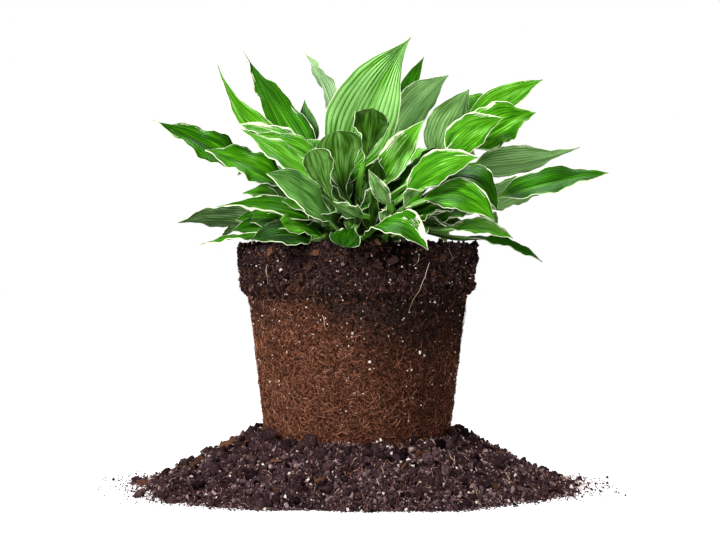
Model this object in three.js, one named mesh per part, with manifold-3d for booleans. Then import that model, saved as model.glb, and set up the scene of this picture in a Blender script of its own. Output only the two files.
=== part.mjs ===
// A variegated hosta lifted from its nursery pot: the pot-shaped root ball stands in a mound of loose soil.
// Millimetres, +Z up. The origin is on the standing surface, under the middle of the root ball.
// +X is to the plant's right and -Y is its front.
import * as THREE from "three";
import { mergeVertices } from "three/addons/utils/BufferGeometryUtils.js";
import Module from "manifold-3d";

const wasm = await Module();
wasm.setup();

// Driving dimensions.
const GAP = 0.3; // clearance between pieces that touch
const SECTORS = 40; // facets round the root ball and its seat
const ROOT_BALL_FOOT = 8; // height of the root ball's underside above the standing surface
const ROOT_BALL_TOP = 162; // height of the soil surface at the rim
const SEAT_TOP = 44; // the root ball is smooth below this height, where loose soil is heaped against it
const HOLLOW_BEARING = 287; // degrees round from +X
const HOLLOW_SPREAD = 9;
const HOLLOW_HEIGHT = 156;
const HOLLOW_DROP = 9;
const HOLLOW_DEPTH = 4;
const CROWN_RADIUS = 35;
const CROWN_SECTORS = 20;
const CROWN_FLOOR = 148;
const CROWN_RISE = 3; // how far the crown's middle stands above its edge
const CROWN_EDGE = 163;
const STEM_SPACING = 7.2; // least distance between two leaf stalks at the crown
const STEM_SINK = 8; // depth of a stalk's foot below the crown's surface
const SOCKET_RADIUS = 3.1; // of the hole that a stalk's foot stands in
const STEM_HALF_WIDTH = 1.9;
const BLADE_THICKNESS = 0.8;
const TIP_HALF_WIDTH = 0.35;

// The root ball's outline: radius at a height, as moulded by a tapered pot with a stepped rim.
const ROOT_BALL_OUTLINE = [
  [59, ROOT_BALL_FOOT + GAP],
  [60.8, 26],
  [62.7, SEAT_TOP],
  [64.5, 60],
  [66.3, 76],
  [68.1, 92],
  [69.9, 107],
  [71.5, 120],
  [72.5, 128.5],
  [77.4, 132.5],
  [78.3, 141],
  [79.3, 149],
  [79.8, 157],
  [78.4, ROOT_BALL_TOP],
];

// The mound's outline: how far its skirt spreads to the right, left, front and back.
const MOUND_REACH = { right: 158, left: 165, front: 106, back: 118 };
const MOUND_PROFILE = [
  // share of the way from the root ball's wall to the skirt's edge, and height
  [0, 37],
  [0.12, 34],
  [0.24, 29],
  [0.36, 23],
  [0.48, 16.5],
  [0.59, 10.5],
  [0.69, 5.8],
  [0.82, 3],
  [1, 1.2],
];
const MOUND_INNER_RADIUS = 60;
const CLOD_COUNT = 27;

// Each leaf: where the stalk meets the blade, where the blade ends, its greatest width, how far its
// midrib bows above the straight line, its roll about the midrib, the fold of its halves, the twist
// from base to tip, and the height of its edge waves. Millimetres and degrees.
const LEAVES = [
  ["tall_middle", [-10, 22, 212], [37, 38, 306], 58, 8, 82, 12, 0, 1.0],
  ["tall_left", [-29, 13, 212], [-80, 45, 297], 29, -1, -58, 26, 40, 2.4],
  ["outer_left_high", [-41, -2, 222], [-94, 6, 283], 22, -9, -50, 26, 0, 1.0],
  ["left_pale", [-30, -11, 216], [-79, -11, 242], 24, 4, -42, 20, 0, 1.2],
  ["left_broad_upper", [-21, -24, 208], [-71, -26, 233], 26, 5, -50, 18, 0, 1.0],
  ["left_broad_lower", [-19, -42, 191], [-75, -45, 236], 29, 3, -50, 18, 0, 1.4],
  ["left_short", [-17, 2, 216], [-47, 7, 231], 19, 3, -40, 20, 0, 0.8],
  ["far_left", [-76, -14, 213], [-135, -15, 244], 26, 2, -55, 22, 0, 2.2],
  ["left_wavy", [-47, -35, 200], [-98, -42, 223], 27, 3, -55, 18, 0, 2.0],
  ["left_front_pale", [-18, -60, 176], [-56, -82, 206], 41, 4, -58, 12, 0, 0.8],
  ["left_flat", [-26, -48, 177], [-89, -58, 186], 20, 6, -46, 20, 0, 0.8],
  ["low_left_grey", [-58, -14, 172], [-119, -10, 177], 26, 4, 36, 24, 0, 1.2],
  ["lowest_left", [-46, -34, 167], [-103, -34, 162.5], 24, 2, -12, 14, 0, 1.0],
  ["front_left_dark", [-30, -61, 165], [-65, -88, 165], 26, 3, -35, 16, 0, 0.9],
  ["back_pale", [-15, 55, 244], [-38, 75, 300], 30, 4, 75, 24, 0, 1.5],
  ["back_slim", [-29, 36, 232], [-37, 46, 263], 14, -3, -40, 24, 0, 0.5],
  ["spoon_left", [-6, -43, 190], [-14, -38, 236], 35, -6, 0, 26, 0, 1.6],
  ["spoon_right", [4, -52, 213], [10, -40, 250], 24, -5, 0, 18, 0, 3.0],
  ["right_bright", [17, -34, 199], [44, -18, 244], 25, 3, 75, 22, 0, 1.0],
  ["front_right_bright", [33, -54, 196], [76, -64, 217], 30, 5, 62, 16, 0, 1.0],
  ["right_strip", [35, -39, 202], [61, -36, 228], 15, -3, 20, 26, 0, 0.6],
  ["young_funnel", [20, -70, 187], [7, -79, 209], 12, -3, 10, 50, 0, 0.6],
  ["young_spoon", [28, -64, 184], [40, -80, 195], 17, 2, 10, 46, 0, 0.6],
  ["front_arching", [6, -68, 168], [43, -98, 159], 27, 12, 28, 16, 0, 1.0],
  ["front_small_dark", [-2, -73, 172], [-9, -88, 161], 20, 3, 0, 14, 0, 1.0],
  ["front_collar", [3, -70, 180], [-15, -84, 189], 14, -2, 10, 26, 0, 1.2],
  ["young_blade", [6, -56, 188], [18, -62, 203], 14, -2, 10, 30, 0, 0.8],
  ["right_drooping", [50, -30, 197], [90, -42, 184], 34, 14, 26, 18, 0, 1.4],
  ["right_grey_inner", [84, -10, 187], [128, -10, 197], 27, 4, -45, 22, 0, 1.2],
  ["right_grey_outer", [80, 10, 216], [150, 10, 228], 28, -3, -48, 20, 0, 1.0],
  ["far_right", [94, -28, 193], [164, -26, 209], 26, 2, 44, 24, 0, 1.4],
  ["right_front_broad", [43, -56, 190], [86, -69, 177], 27, 9, 44, 16, 0, 1.0],
  ["right_front_low", [60, -47, 172], [99, -54, 166], 18, 4, 34, 20, 0, 0.8],
  ["right_hanging", [70, -26, 166], [120, -32, 151], 11, 5, 12, 18, 40, 1.0],
  ["upper_right_outer", [78, 44, 244], [130, 54, 278], 24, 3, 50, 18, 0, 0.8],
  ["upper_right_back", [68, 62, 243], [99, 80, 269], 26, 4, 40, 18, 0, 1.0],
  ["right_ruffled", [74, 0, 226], [120, 6, 251], 36, 5, 60, 16, 0, 2.4],
  ["right_bright_upper", [60, -20, 221], [95, -24, 245], 28, 4, 68, 16, 0, 1.0],
  ["upper_right_grey", [55, 15, 219], [76, 21, 268], 34, 2, -80, 18, 0, 1.2],
  ["back_right_folded", [24, 50, 231], [64, 60, 282], 36, 4, -80, 22, 0, 1.2],
  ["back_narrow", [29, 84, 257], [48, 90, 298], 13, 2, 40, 24, 0, 0.6],
  ["right_low_young", [38, -70, 171], [38, -93, 163], 12, 4, 0, 18, 0, 0.6],
  ["young_left", [-14, -65, 189], [-29, -66, 222], 24, -3, 0, 36, 0, 1.2],
  ["right_inner_dark", [40, -38, 176], [76, -51, 186], 29, 6, 28, 18, 0, 1.2],
  ["left_inner_dark", [-30, -16, 178], [-62, -34, 187], 26, 3, -45, 18, 0, 1.0],
  ["rear_right_low", [58, 34, 178], [100, 66, 171], 36, 12, 0, 20, 0, 1.8],
  ["rear_right_mid", [44, 58, 208], [86, 102, 228], 40, 11, 0, 22, 0, 1.6],
  ["rear_right_floor", [36, 62, 172], [66, 116, 163], 36, 11, 0, 20, 0, 1.6],
  ["rear_middle_high", [2, 62, 222], [2, 112, 262], 40, 9, 0, 22, 0, 1.4],
  ["rear_middle_low", [4, 64, 184], [12, 128, 176], 40, 14, 0, 20, 0, 1.8],
  ["rear_left_high", [-36, 50, 218], [-74, 92, 252], 38, 9, 0, 22, 0, 1.4],
  ["rear_left_low", [-32, 58, 178], [-62, 110, 168], 38, 12, 0, 20, 0, 1.8],
  ["rear_left_side", [-50, 36, 196], [-86, 74, 212], 36, 9, 0, 22, 0, 1.6],
  ["rear_left_floor", [-56, 28, 170], [-96, 50, 166], 30, 9, 0, 20, 0, 1.4],
];

// Leaves that broaden towards a rounded end.
const SPATULATE = ["spoon_left", "spoon_right", "young_left", "young_spoon", "front_small_dark"];

// Leaves that narrow early to a long thin tip.
const LONG_TIPPED = ["left_flat", "right_grey_outer", "outer_left_high", "lowest_left"];

// Leaves that are broadest near the base and taper evenly.
const BROAD_BASED = ["tall_middle", "tall_left", "far_left", "back_pale"];

const LEAF_LIGHT = "#4fae33";
const LEAF_MIDDLE = "#36922a";
const LEAF_DARK = "#28701f";

const radians = THREE.MathUtils.degToRad;
const UP = new THREE.Vector3(0, 0, 1);

// A repeatable random number from 0 to 1 for a pair of whole numbers.
function chance(a, b = 0) {
  const s = Math.sin(a * 127.1 + b * 311.7 + 17.3) * 43758.5453;
  return s - Math.floor(s);
}

// Smooth lumpiness between -1 and 1, for soil and roots; size is the distance between lumps.
function lumps(x, y, z, size) {
  const a = x / size;
  const b = y / size;
  const c = z / size;
  const coarse = Math.sin(a * 2.1 + Math.sin(b * 1.7 + c)) * Math.cos(b * 2.3 + Math.sin(c * 1.9 - a));
  const fine = Math.sin(a * 4.7 - c * 3.1 + 1.3) * Math.cos(b * 5.3 + c * 4.1 + 0.6);
  return 0.65 * coarse + 0.35 * fine;
}

// Straight lines through a list of [key, value] pairs.
function interpolate(pairs, key) {
  const last = pairs[pairs.length - 1];
  if (key <= pairs[0][0]) return pairs[0][1];
  if (key >= last[0]) return last[1];
  const next = pairs.findIndex((pair) => pair[0] > key);
  const [k0, v0] = pairs[next - 1];
  const [k1, v1] = pairs[next];
  return v0 + ((v1 - v0) * (key - k0)) / (k1 - k0);
}

function signedVolume(points, faces) {
  const cross = new THREE.Vector3();
  const wedge = ([a, b, c]) => points[a].dot(cross.crossVectors(points[b], points[c])) / 6;
  return faces.reduce((sum, face) => sum + wedge(face), 0);
}

// A geometry from points and triangles, turned so that its faces point out.
function closedGeometry(points, faces) {
  const outward = signedVolume(points, faces) > 0 ? faces : faces.map(([a, b, c]) => [a, c, b]);
  const geometry = new THREE.BufferGeometry().setFromPoints(points);
  geometry.setIndex(outward.flat());
  return geometry;
}

function solidFrom(geometry) {
  const bare = geometry.clone();
  for (const name of ["normal", "uv"]) bare.deleteAttribute(name);
  const merged = mergeVertices(bare, 1e-3);
  const vertProperties = merged.attributes.position.array;
  const triVerts = new Uint32Array(merged.index.array);
  return new wasm.Manifold(new wasm.Mesh({ numProp: 3, vertProperties, triVerts }));
}

function geometryFrom(solid) {
  const mesh = solid.getMesh();
  const geometry = new THREE.BufferGeometry();
  geometry.setAttribute("position", new THREE.BufferAttribute(mesh.vertProperties, 3));
  geometry.setIndex(new THREE.BufferAttribute(mesh.triVerts, 1));
  return geometry;
}

// A closed skin over rings of equal length, with a fan at each end.
function ringsGeometry(rings, startPoint, endPoint) {
  const count = rings[0].length;
  const points = [...rings.flat(), startPoint, endPoint];
  const start = points.length - 2;
  const end = points.length - 1;
  const faces = [];
  for (let i = 0; i < count; i++) {
    const next = (i + 1) % count;
    faces.push([start, next, i]);
    for (let r = 0; r < rings.length - 1; r++) {
      const low = r * count;
      const high = low + count;
      faces.push([low + i, low + next, high + next], [low + i, high + next, high + i]);
    }
    const last = (rings.length - 1) * count;
    faces.push([last + i, last + next, end]);
  }
  return closedGeometry(points, faces);
}

function ring(radiusAt, heightAt, sectors = SECTORS) {
  return Array.from({ length: sectors }, (_, i) => {
    const angle = (i / sectors) * 2 * Math.PI;
    const radius = radiusAt(angle);
    const x = radius * Math.cos(angle);
    const y = radius * Math.sin(angle);
    return new THREE.Vector3(x, y, heightAt(x, y, angle));
  });
}

// Depth of the crumbled hollow in the front of the rim.
function rimHollow(angle, height) {
  const across = (angle - radians(HOLLOW_BEARING)) / radians(HOLLOW_SPREAD);
  const along = (height - HOLLOW_HEIGHT) / HOLLOW_DROP;
  return HOLLOW_DEPTH * Math.exp(-(across ** 2) - along ** 2);
}

// Root ball: crumbly at the rim, matted with roots below it and smooth where the mound holds it.
function rootBallRing([radius, height]) {
  const roughness = height <= SEAT_TOP ? 0 : height > 130 ? 1.5 : 0.8;
  const radiusAt = (angle) => {
    const relief = roughness * lumps(radius * Math.cos(angle), radius * Math.sin(angle), height, 11);
    return radius + relief - rimHollow(angle, height);
  };
  return ring(radiusAt, (x, y) => height + (height >= ROOT_BALL_TOP ? topSoilRelief(x, y) : 0));
}

function topSoilRelief(x, y) {
  return 1.2 * lumps(x, y, 3, 17);
}

function rootBallGeometry(crownPocket) {
  const walls = ROOT_BALL_OUTLINE.map(rootBallRing);
  const topHeight = (x, y) => ROOT_BALL_TOP + topSoilRelief(x, y);
  const surface = [66, 52].map((radius) => ring(() => radius, topHeight));
  const foot = new THREE.Vector3(0, 0, ROOT_BALL_FOOT + GAP);
  const middle = new THREE.Vector3(0, 0, ROOT_BALL_TOP);
  const whole = solidFrom(ringsGeometry([...walls, ...surface], foot, middle));
  return geometryFrom(whole.subtract(crownPocket));
}

// The crown: the low fleshy stock that every leaf stalk rises from.
function crownHeight(x, y) {
  const reach = Math.min(1, (x * x + y * y) / CROWN_RADIUS ** 2);
  return CROWN_EDGE + CROWN_RISE * (1 - reach) + 0.7 * lumps(x, y, 9, 9);
}

function crownGeometry(sockets) {
  const side = ring(() => CROWN_RADIUS, () => CROWN_FLOOR, CROWN_SECTORS);
  const tops = [1, 0.5].map((share) => ring(() => CROWN_RADIUS * share, crownHeight, CROWN_SECTORS));
  const floor = new THREE.Vector3(0, 0, CROWN_FLOOR);
  const peak = new THREE.Vector3(0, 0, crownHeight(0, 0));
  const dome = solidFrom(ringsGeometry([side, ...tops], floor, peak));
  return geometryFrom(sockets.reduce((solid, socket) => solid.subtract(socket), dome));
}

function crownPocket() {
  const radius = CROWN_RADIUS + GAP;
  const ends = [CROWN_FLOOR - GAP, ROOT_BALL_TOP + 20];
  const rings = ends.map((height) => ring(() => radius, () => height, CROWN_SECTORS));
  const [floor, lid] = ends.map((height) => new THREE.Vector3(0, 0, height));
  return solidFrom(ringsGeometry(rings, floor, lid));
}

// The mound of loose soil, heaped round the root ball's foot and thinning to a skirt.
function moundReach(angle) {
  const side = Math.cos(angle) > 0 ? MOUND_REACH.right : MOUND_REACH.left;
  const depth = Math.sin(angle) > 0 ? MOUND_REACH.back : MOUND_REACH.front;
  const ellipse = 1 / Math.hypot(Math.cos(angle) / side, Math.sin(angle) / depth);
  return ellipse * (1 + 0.03 * Math.sin(5 * angle + 1) + 0.02 * Math.sin(11 * angle));
}

function moundRing([share, height]) {
  const radiusAt = (angle) => MOUND_INNER_RADIUS + share * (moundReach(angle) - MOUND_INNER_RADIUS);
  const relief = share < 1 ? Math.min(2.6, 0.16 * height) : 0;
  return ring(radiusAt, (x, y) => height + relief * lumps(x, y, 5, 9));
}

function clod(index) {
  const angle = chance(index, 1) * 2 * Math.PI;
  const share = 0.08 + 0.8 * chance(index, 2) ** 0.8;
  const radius = MOUND_INNER_RADIUS + share * (moundReach(angle) - MOUND_INNER_RADIUS);
  const size = (2.2 + 3.6 * chance(index, 3)) * (1 - 0.35 * share);
  const geometry = new THREE.IcosahedronGeometry(size, 0);
  geometry.scale(1, 0.75 + 0.5 * chance(index, 4), 0.7 + 0.3 * chance(index, 5));
  geometry.rotateX(3 * chance(index, 6));
  geometry.rotateZ(3 * chance(index, 7));
  const height = interpolate(MOUND_PROFILE, share) + 0.25 * size;
  geometry.translate(radius * Math.cos(angle), radius * Math.sin(angle), height);
  return solidFrom(geometry);
}

function seatCutter() {
  const seat = ROOT_BALL_OUTLINE.slice(0, 4).map(([radius, height], row) => {
    const clearance = row < 3 ? GAP : 3 * GAP;
    return ring(() => radius + clearance, () => (row === 0 ? ROOT_BALL_FOOT : height));
  });
  const [floor, mouth] = [ROOT_BALL_FOOT, ROOT_BALL_OUTLINE[3][1]].map((z) => new THREE.Vector3(0, 0, z));
  return solidFrom(ringsGeometry(seat, floor, mouth));
}

function moundGeometry() {
  const flatBottom = ring(moundReach, () => 0);
  const slopes = [...MOUND_PROFILE].reverse().map(moundRing);
  const heap = ringsGeometry([flatBottom, ...slopes], new THREE.Vector3(), new THREE.Vector3(0, 0, 37));
  let solid = solidFrom(heap);
  for (let i = 0; i < CLOD_COUNT; i++) solid = solid.add(clod(i));
  const ground = new THREE.BoxGeometry(600, 600, 40).translate(0, 0, -20);
  return geometryFrom(solid.subtract(solidFrom(ground)).subtract(seatCutter()));
}

// Where each stalk leaves the crown: on its leaf's side of it, low leaves outermost, at least
// STEM_SPACING from the others.
function stemFeet(leaves) {
  const feet = leaves.map(({ joint }) => {
    const reach = 0.3 * Math.hypot(joint.x, joint.y) + 0.15 * (200 - joint.z);
    return new THREE.Vector2(joint.x, joint.y).setLength(THREE.MathUtils.clamp(reach, 4, CROWN_RADIUS - 4));
  });
  const push = new THREE.Vector2();
  for (let pass = 0; pass < 400; pass++) {
    feet.forEach((a, i) => {
      feet.slice(i + 1).forEach((b) => {
        push.subVectors(b, a);
        const short = STEM_SPACING - push.length();
        if (short <= 0) return;
        push.setLength(short / 2);
        b.add(push);
        a.sub(push);
      });
    });
    for (const foot of feet) foot.clampLength(0, CROWN_RADIUS - SOCKET_RADIUS - 0.8);
  }
  return feet.map((foot) => new THREE.Vector3(foot.x, foot.y, crownHeight(foot.x, foot.y)));
}

function socketAt(foot) {
  const height = STEM_SINK + 12;
  const socket = new THREE.CylinderGeometry(SOCKET_RADIUS, SOCKET_RADIUS, height, 6);
  socket.rotateX(Math.PI / 2);
  socket.translate(foot.x, foot.y, foot.z - STEM_SINK - GAP + height / 2);
  return solidFrom(socket);
}

// The line that a leaf follows: up from its foot, along the stalk to the joint, then along the midrib.
function leafLine(leaf, foot) {
  const { joint, tip, bow } = leaf;
  const chord = new THREE.Vector3().subVectors(tip, joint);
  const outward = new THREE.Vector3(tip.x - foot.x, tip.y - foot.y, 0).normalize();
  const across = new THREE.Vector3().crossVectors(outward, UP);
  const lift = new THREE.Vector3().crossVectors(across, chord).normalize().multiplyScalar((bow * 4) / 3);
  const rise = joint.clone().addScaledVector(chord, 1 / 3).add(lift);
  const fall = joint.clone().addScaledVector(chord, 2 / 3).add(lift);
  const midrib = new THREE.CubicBezierCurve3(joint, rise, fall, tip);
  const heading = new THREE.Vector3().subVectors(rise, joint).normalize();
  const length = foot.distanceTo(joint);
  const climb = foot.clone().addScaledVector(UP, 0.4 * length);
  const approach = joint.clone().addScaledVector(heading, -0.35 * length);
  const stalk = new THREE.CubicBezierCurve3(foot, climb, approach, joint);
  return { stalk, midrib, across };
}

// Half the blade's width, as a share of the greatest half width, at a share of its length.
function bladeOutline(leaf, along) {
  const [swell, taper] = SPATULATE.includes(leaf.name)
    ? [1.8, 0.5]
    : LONG_TIPPED.includes(leaf.name)
      ? [0.75, 1.8]
      : BROAD_BASED.includes(leaf.name)
        ? [0.75, 1.5]
        : [0.75, 1.17];
  const broadest = swell / (swell + taper);
  return (along / broadest) ** swell * ((1 - along) / (1 - broadest)) ** taper;
}

// Cross-sections from the foot to the tip, each with its place, heading, side, half width, fold
// and thickness.
function leafStations(leaf, foot, stalkSteps, bladeSteps) {
  const { stalk, midrib, across } = leafLine(leaf, foot);
  const stations = [];
  for (let i = 0; i <= stalkSteps; i++) {
    const share = i / stalkSteps;
    const at = stalk.getPoint(share);
    stations.push({ at, heading: stalk.getTangent(share), roll: share * leaf.roll, along: 0, share });
  }
  for (let i = 1; i <= bladeSteps; i++) {
    const along = i / bladeSteps;
    const at = midrib.getPoint(along);
    const roll = leaf.roll + along * leaf.twist;
    stations.push({ at, heading: midrib.getTangent(along), roll, along, share: 1 });
  }
  const buried = stations[0].at.clone().addScaledVector(UP, -STEM_SINK);
  stations.unshift({ at: buried, heading: UP.clone(), roll: 0, along: 0, share: 0 });
  for (const station of stations) {
    const { heading, roll, along } = station;
    const level = across.clone().addScaledVector(heading, -across.dot(heading)).normalize();
    const upward = new THREE.Vector3().crossVectors(level, heading);
    const turn = radians(roll);
    const flare = Math.min(1, along / 0.12);
    const blade = (leaf.width / 2) * bladeOutline(leaf, along);
    station.side = level.clone().multiplyScalar(Math.cos(turn)).addScaledVector(upward, -Math.sin(turn));
    station.normal = upward.multiplyScalar(Math.cos(turn)).addScaledVector(level, Math.sin(turn));
    station.halfWidth = Math.max(TIP_HALF_WIDTH, blade, STEM_HALF_WIDTH * (1 - flare));
    station.fold = radians(leaf.fold + (38 - leaf.fold) * (1 - flare));
    station.curl = radians(leaf.fold * 0.9 * flare);
    station.ribThickness = along > 0 ? Math.max(0.9, 2.6 - 2.7 * along) : 3;
    station.edgeThickness = along > 0 ? BLADE_THICKNESS : 1.5;
  }
  return stations;
}

// A point of the leaf's middle surface and the direction of its face there; across runs from -1 to 1.
function leafPoint(leaf, station, across) {
  const { at, side, normal, halfWidth, fold, curl, along } = station;
  const reach = Math.abs(across);
  const angle = fold - curl * reach;
  let lateral = reach * Math.cos(fold);
  let lift = reach * Math.sin(fold);
  if (curl > 1e-3) {
    lateral = (Math.sin(fold) - Math.sin(angle)) / curl;
    lift = (Math.cos(angle) - Math.cos(fold)) / curl;
  }
  const phase = 2 * Math.PI * (2.6 * along + leaf.phase) + (across < 0 ? 1.9 : 0);
  const taper = Math.min(1, 4 * along, 5 * (1 - along));
  const wave = leaf.wave * reach ** 2 * Math.sin(phase) * taper;
  const sign = Math.sign(across);
  const point = at
    .clone()
    .addScaledVector(side, sign * lateral * halfWidth)
    .addScaledVector(normal, lift * halfWidth + wave);
  const facing = normal
    .clone()
    .multiplyScalar(reach ? Math.cos(angle) : 1)
    .addScaledVector(side, -sign * Math.sin(angle));
  return { point, facing };
}

// A closed body: the leaf's middle surface thickened to both sides, with its rim and both ends closed.
function leafGeometry(leaf, foot) {
  const columns = leaf.width > 18 ? 4 : 2;
  const stalkSteps = THREE.MathUtils.clamp(Math.ceil(foot.distanceTo(leaf.joint) / 18), 2, 4);
  const bladeSteps = leaf.width > 20 && !leaf.name.startsWith("rear") ? 8 : 6;
  const stations = leafStations(leaf, foot, stalkSteps, bladeSteps);
  const points = [];
  const index = (row, column, face) => (row * (columns + 1) + column) * 2 + face;
  for (const station of stations) {
    for (let column = 0; column <= columns; column++) {
      const across = (2 * column) / columns - 1;
      const { point, facing } = leafPoint(leaf, station, across);
      const { edgeThickness, ribThickness } = station;
      const thickness = edgeThickness + (ribThickness - edgeThickness) * (1 - Math.abs(across)) ** 2;
      points.push(point.clone().addScaledVector(facing, thickness / 2));
      points.push(point.clone().addScaledVector(facing, -thickness / 2));
    }
  }
  const faces = [];
  const quad = (a, b, c, d) => faces.push([a, b, c], [a, c, d]);
  const last = stations.length - 1;
  for (let row = 0; row < last; row++) {
    for (let column = 0; column < columns; column++) {
      const a = index(row, column, 0);
      const b = index(row, column + 1, 0);
      const c = index(row + 1, column + 1, 0);
      const d = index(row + 1, column, 0);
      faces.push([a, b, c], [a, c, d], [a + 1, c + 1, b + 1], [a + 1, d + 1, c + 1]);
    }
    const right = index(row, columns, 0);
    const nextRight = index(row + 1, columns, 0);
    quad(index(row, 0, 0), index(row + 1, 0, 0), index(row + 1, 0, 1), index(row, 0, 1));
    quad(right + 1, nextRight + 1, nextRight, right);
  }
  for (let column = 0; column < columns; column++) {
    const start = index(0, column, 0);
    const end = index(last, column, 0);
    quad(start, start + 1, start + 3, start + 2);
    quad(end + 1, end, end + 2, end + 3);
  }
  return closedGeometry(points, faces);
}

function named(name, geometry, color, roughness) {
  const mesh = new THREE.Mesh(geometry, new THREE.MeshStandardMaterial({ color, roughness, metalness: 0 }));
  mesh.name = name;
  return mesh;
}

function hosta() {
  const leaves = LEAVES.map(([name, joint, tip, width, bow, roll, fold, twist, wave], i) => ({
    name,
    joint: new THREE.Vector3(...joint),
    tip: new THREE.Vector3(...tip),
    width,
    bow,
    roll,
    fold,
    twist,
    wave,
    phase: chance(i, 8),
  }));
  const feet = stemFeet(leaves);
  const plant = new THREE.Group();
  plant.add(named("soil_mound", moundGeometry(), "#33231c", 0.95));
  plant.add(named("root_ball", rootBallGeometry(crownPocket()), "#5a3520", 0.95));
  plant.add(named("crown", crownGeometry(feet.map(socketAt)), "#8a7a4a", 0.8));
  leaves.forEach((leaf, i) => {
    const color = [LEAF_LIGHT, LEAF_MIDDLE, LEAF_DARK][i % 3];
    plant.add(named(`leaf_${leaf.name}`, leafGeometry(leaf, feet[i]), color, 0.45));
  });
  return plant;
}

export default hosta();
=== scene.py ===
import math
import random

import bpy
import numpy as np
from mathutils import Euler, Matrix, Vector, noise


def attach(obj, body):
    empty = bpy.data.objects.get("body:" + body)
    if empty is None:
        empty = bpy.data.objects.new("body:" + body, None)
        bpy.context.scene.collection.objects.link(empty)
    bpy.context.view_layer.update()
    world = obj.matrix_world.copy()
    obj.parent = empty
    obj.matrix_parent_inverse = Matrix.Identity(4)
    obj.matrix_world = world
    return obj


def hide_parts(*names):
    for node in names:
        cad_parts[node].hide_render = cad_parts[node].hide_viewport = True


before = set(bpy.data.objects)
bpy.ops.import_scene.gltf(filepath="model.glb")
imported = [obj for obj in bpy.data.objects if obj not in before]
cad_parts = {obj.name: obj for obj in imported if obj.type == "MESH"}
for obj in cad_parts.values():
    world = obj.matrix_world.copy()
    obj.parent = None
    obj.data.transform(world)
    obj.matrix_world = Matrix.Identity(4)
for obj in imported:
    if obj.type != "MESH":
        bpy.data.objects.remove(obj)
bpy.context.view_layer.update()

# Lengths below are millimetres, as in the solids, and become metres when a mesh is finished.
MM = 0.001
TAU = 2 * math.pi
UP = Vector((0, 0, 1))

# ---------------------------------------------------------------- sizes shared with the solids
UNDERSIDE = 8.3  # of the root ball, above the standing surface
ROOT_BALL_TOP = 162
SEAT_TOP = 44
# The crumbled hollow in the front of the rim.
HOLLOW = {"bearing": math.radians(287), "spread": math.radians(9), "height": 156, "drop": 9, "depth": 4}
CROWN_RADIUS = 35
CROWN_RISE = 3
CROWN_EDGE = 163
STEM_SPACING = 7.2  # least distance between two stalks at the crown
SPACING_ROUNDS = 400
STEM_SINK = 8
SOCKET_RADIUS = 3.1
STEM_HALF_WIDTH = 1.9
TIP_HALF_WIDTH = 0.35

ROOT_BALL_OUTLINE = [
    (59, UNDERSIDE), (60.8, 26), (62.7, 44), (64.5, 60), (66.3, 76), (68.1, 92), (69.9, 107),
    (71.5, 120), (72.5, 128.5), (77.4, 132.5), (78.3, 141), (79.3, 149), (79.8, 157), (78.4, 162),
]  # fmt: skip
MOUND_REACH = {"right": 158, "left": 165, "front": 106, "back": 118}
MOUND_INNER_RADIUS = 60
MOUND_PROFILE = [
    (0, 37), (0.12, 34), (0.24, 29), (0.36, 23), (0.48, 16.5), (0.59, 10.5),
    (0.69, 5.8), (0.82, 3), (1, 1.2),
]  # fmt: skip
CLOD_COUNT = 27

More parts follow.
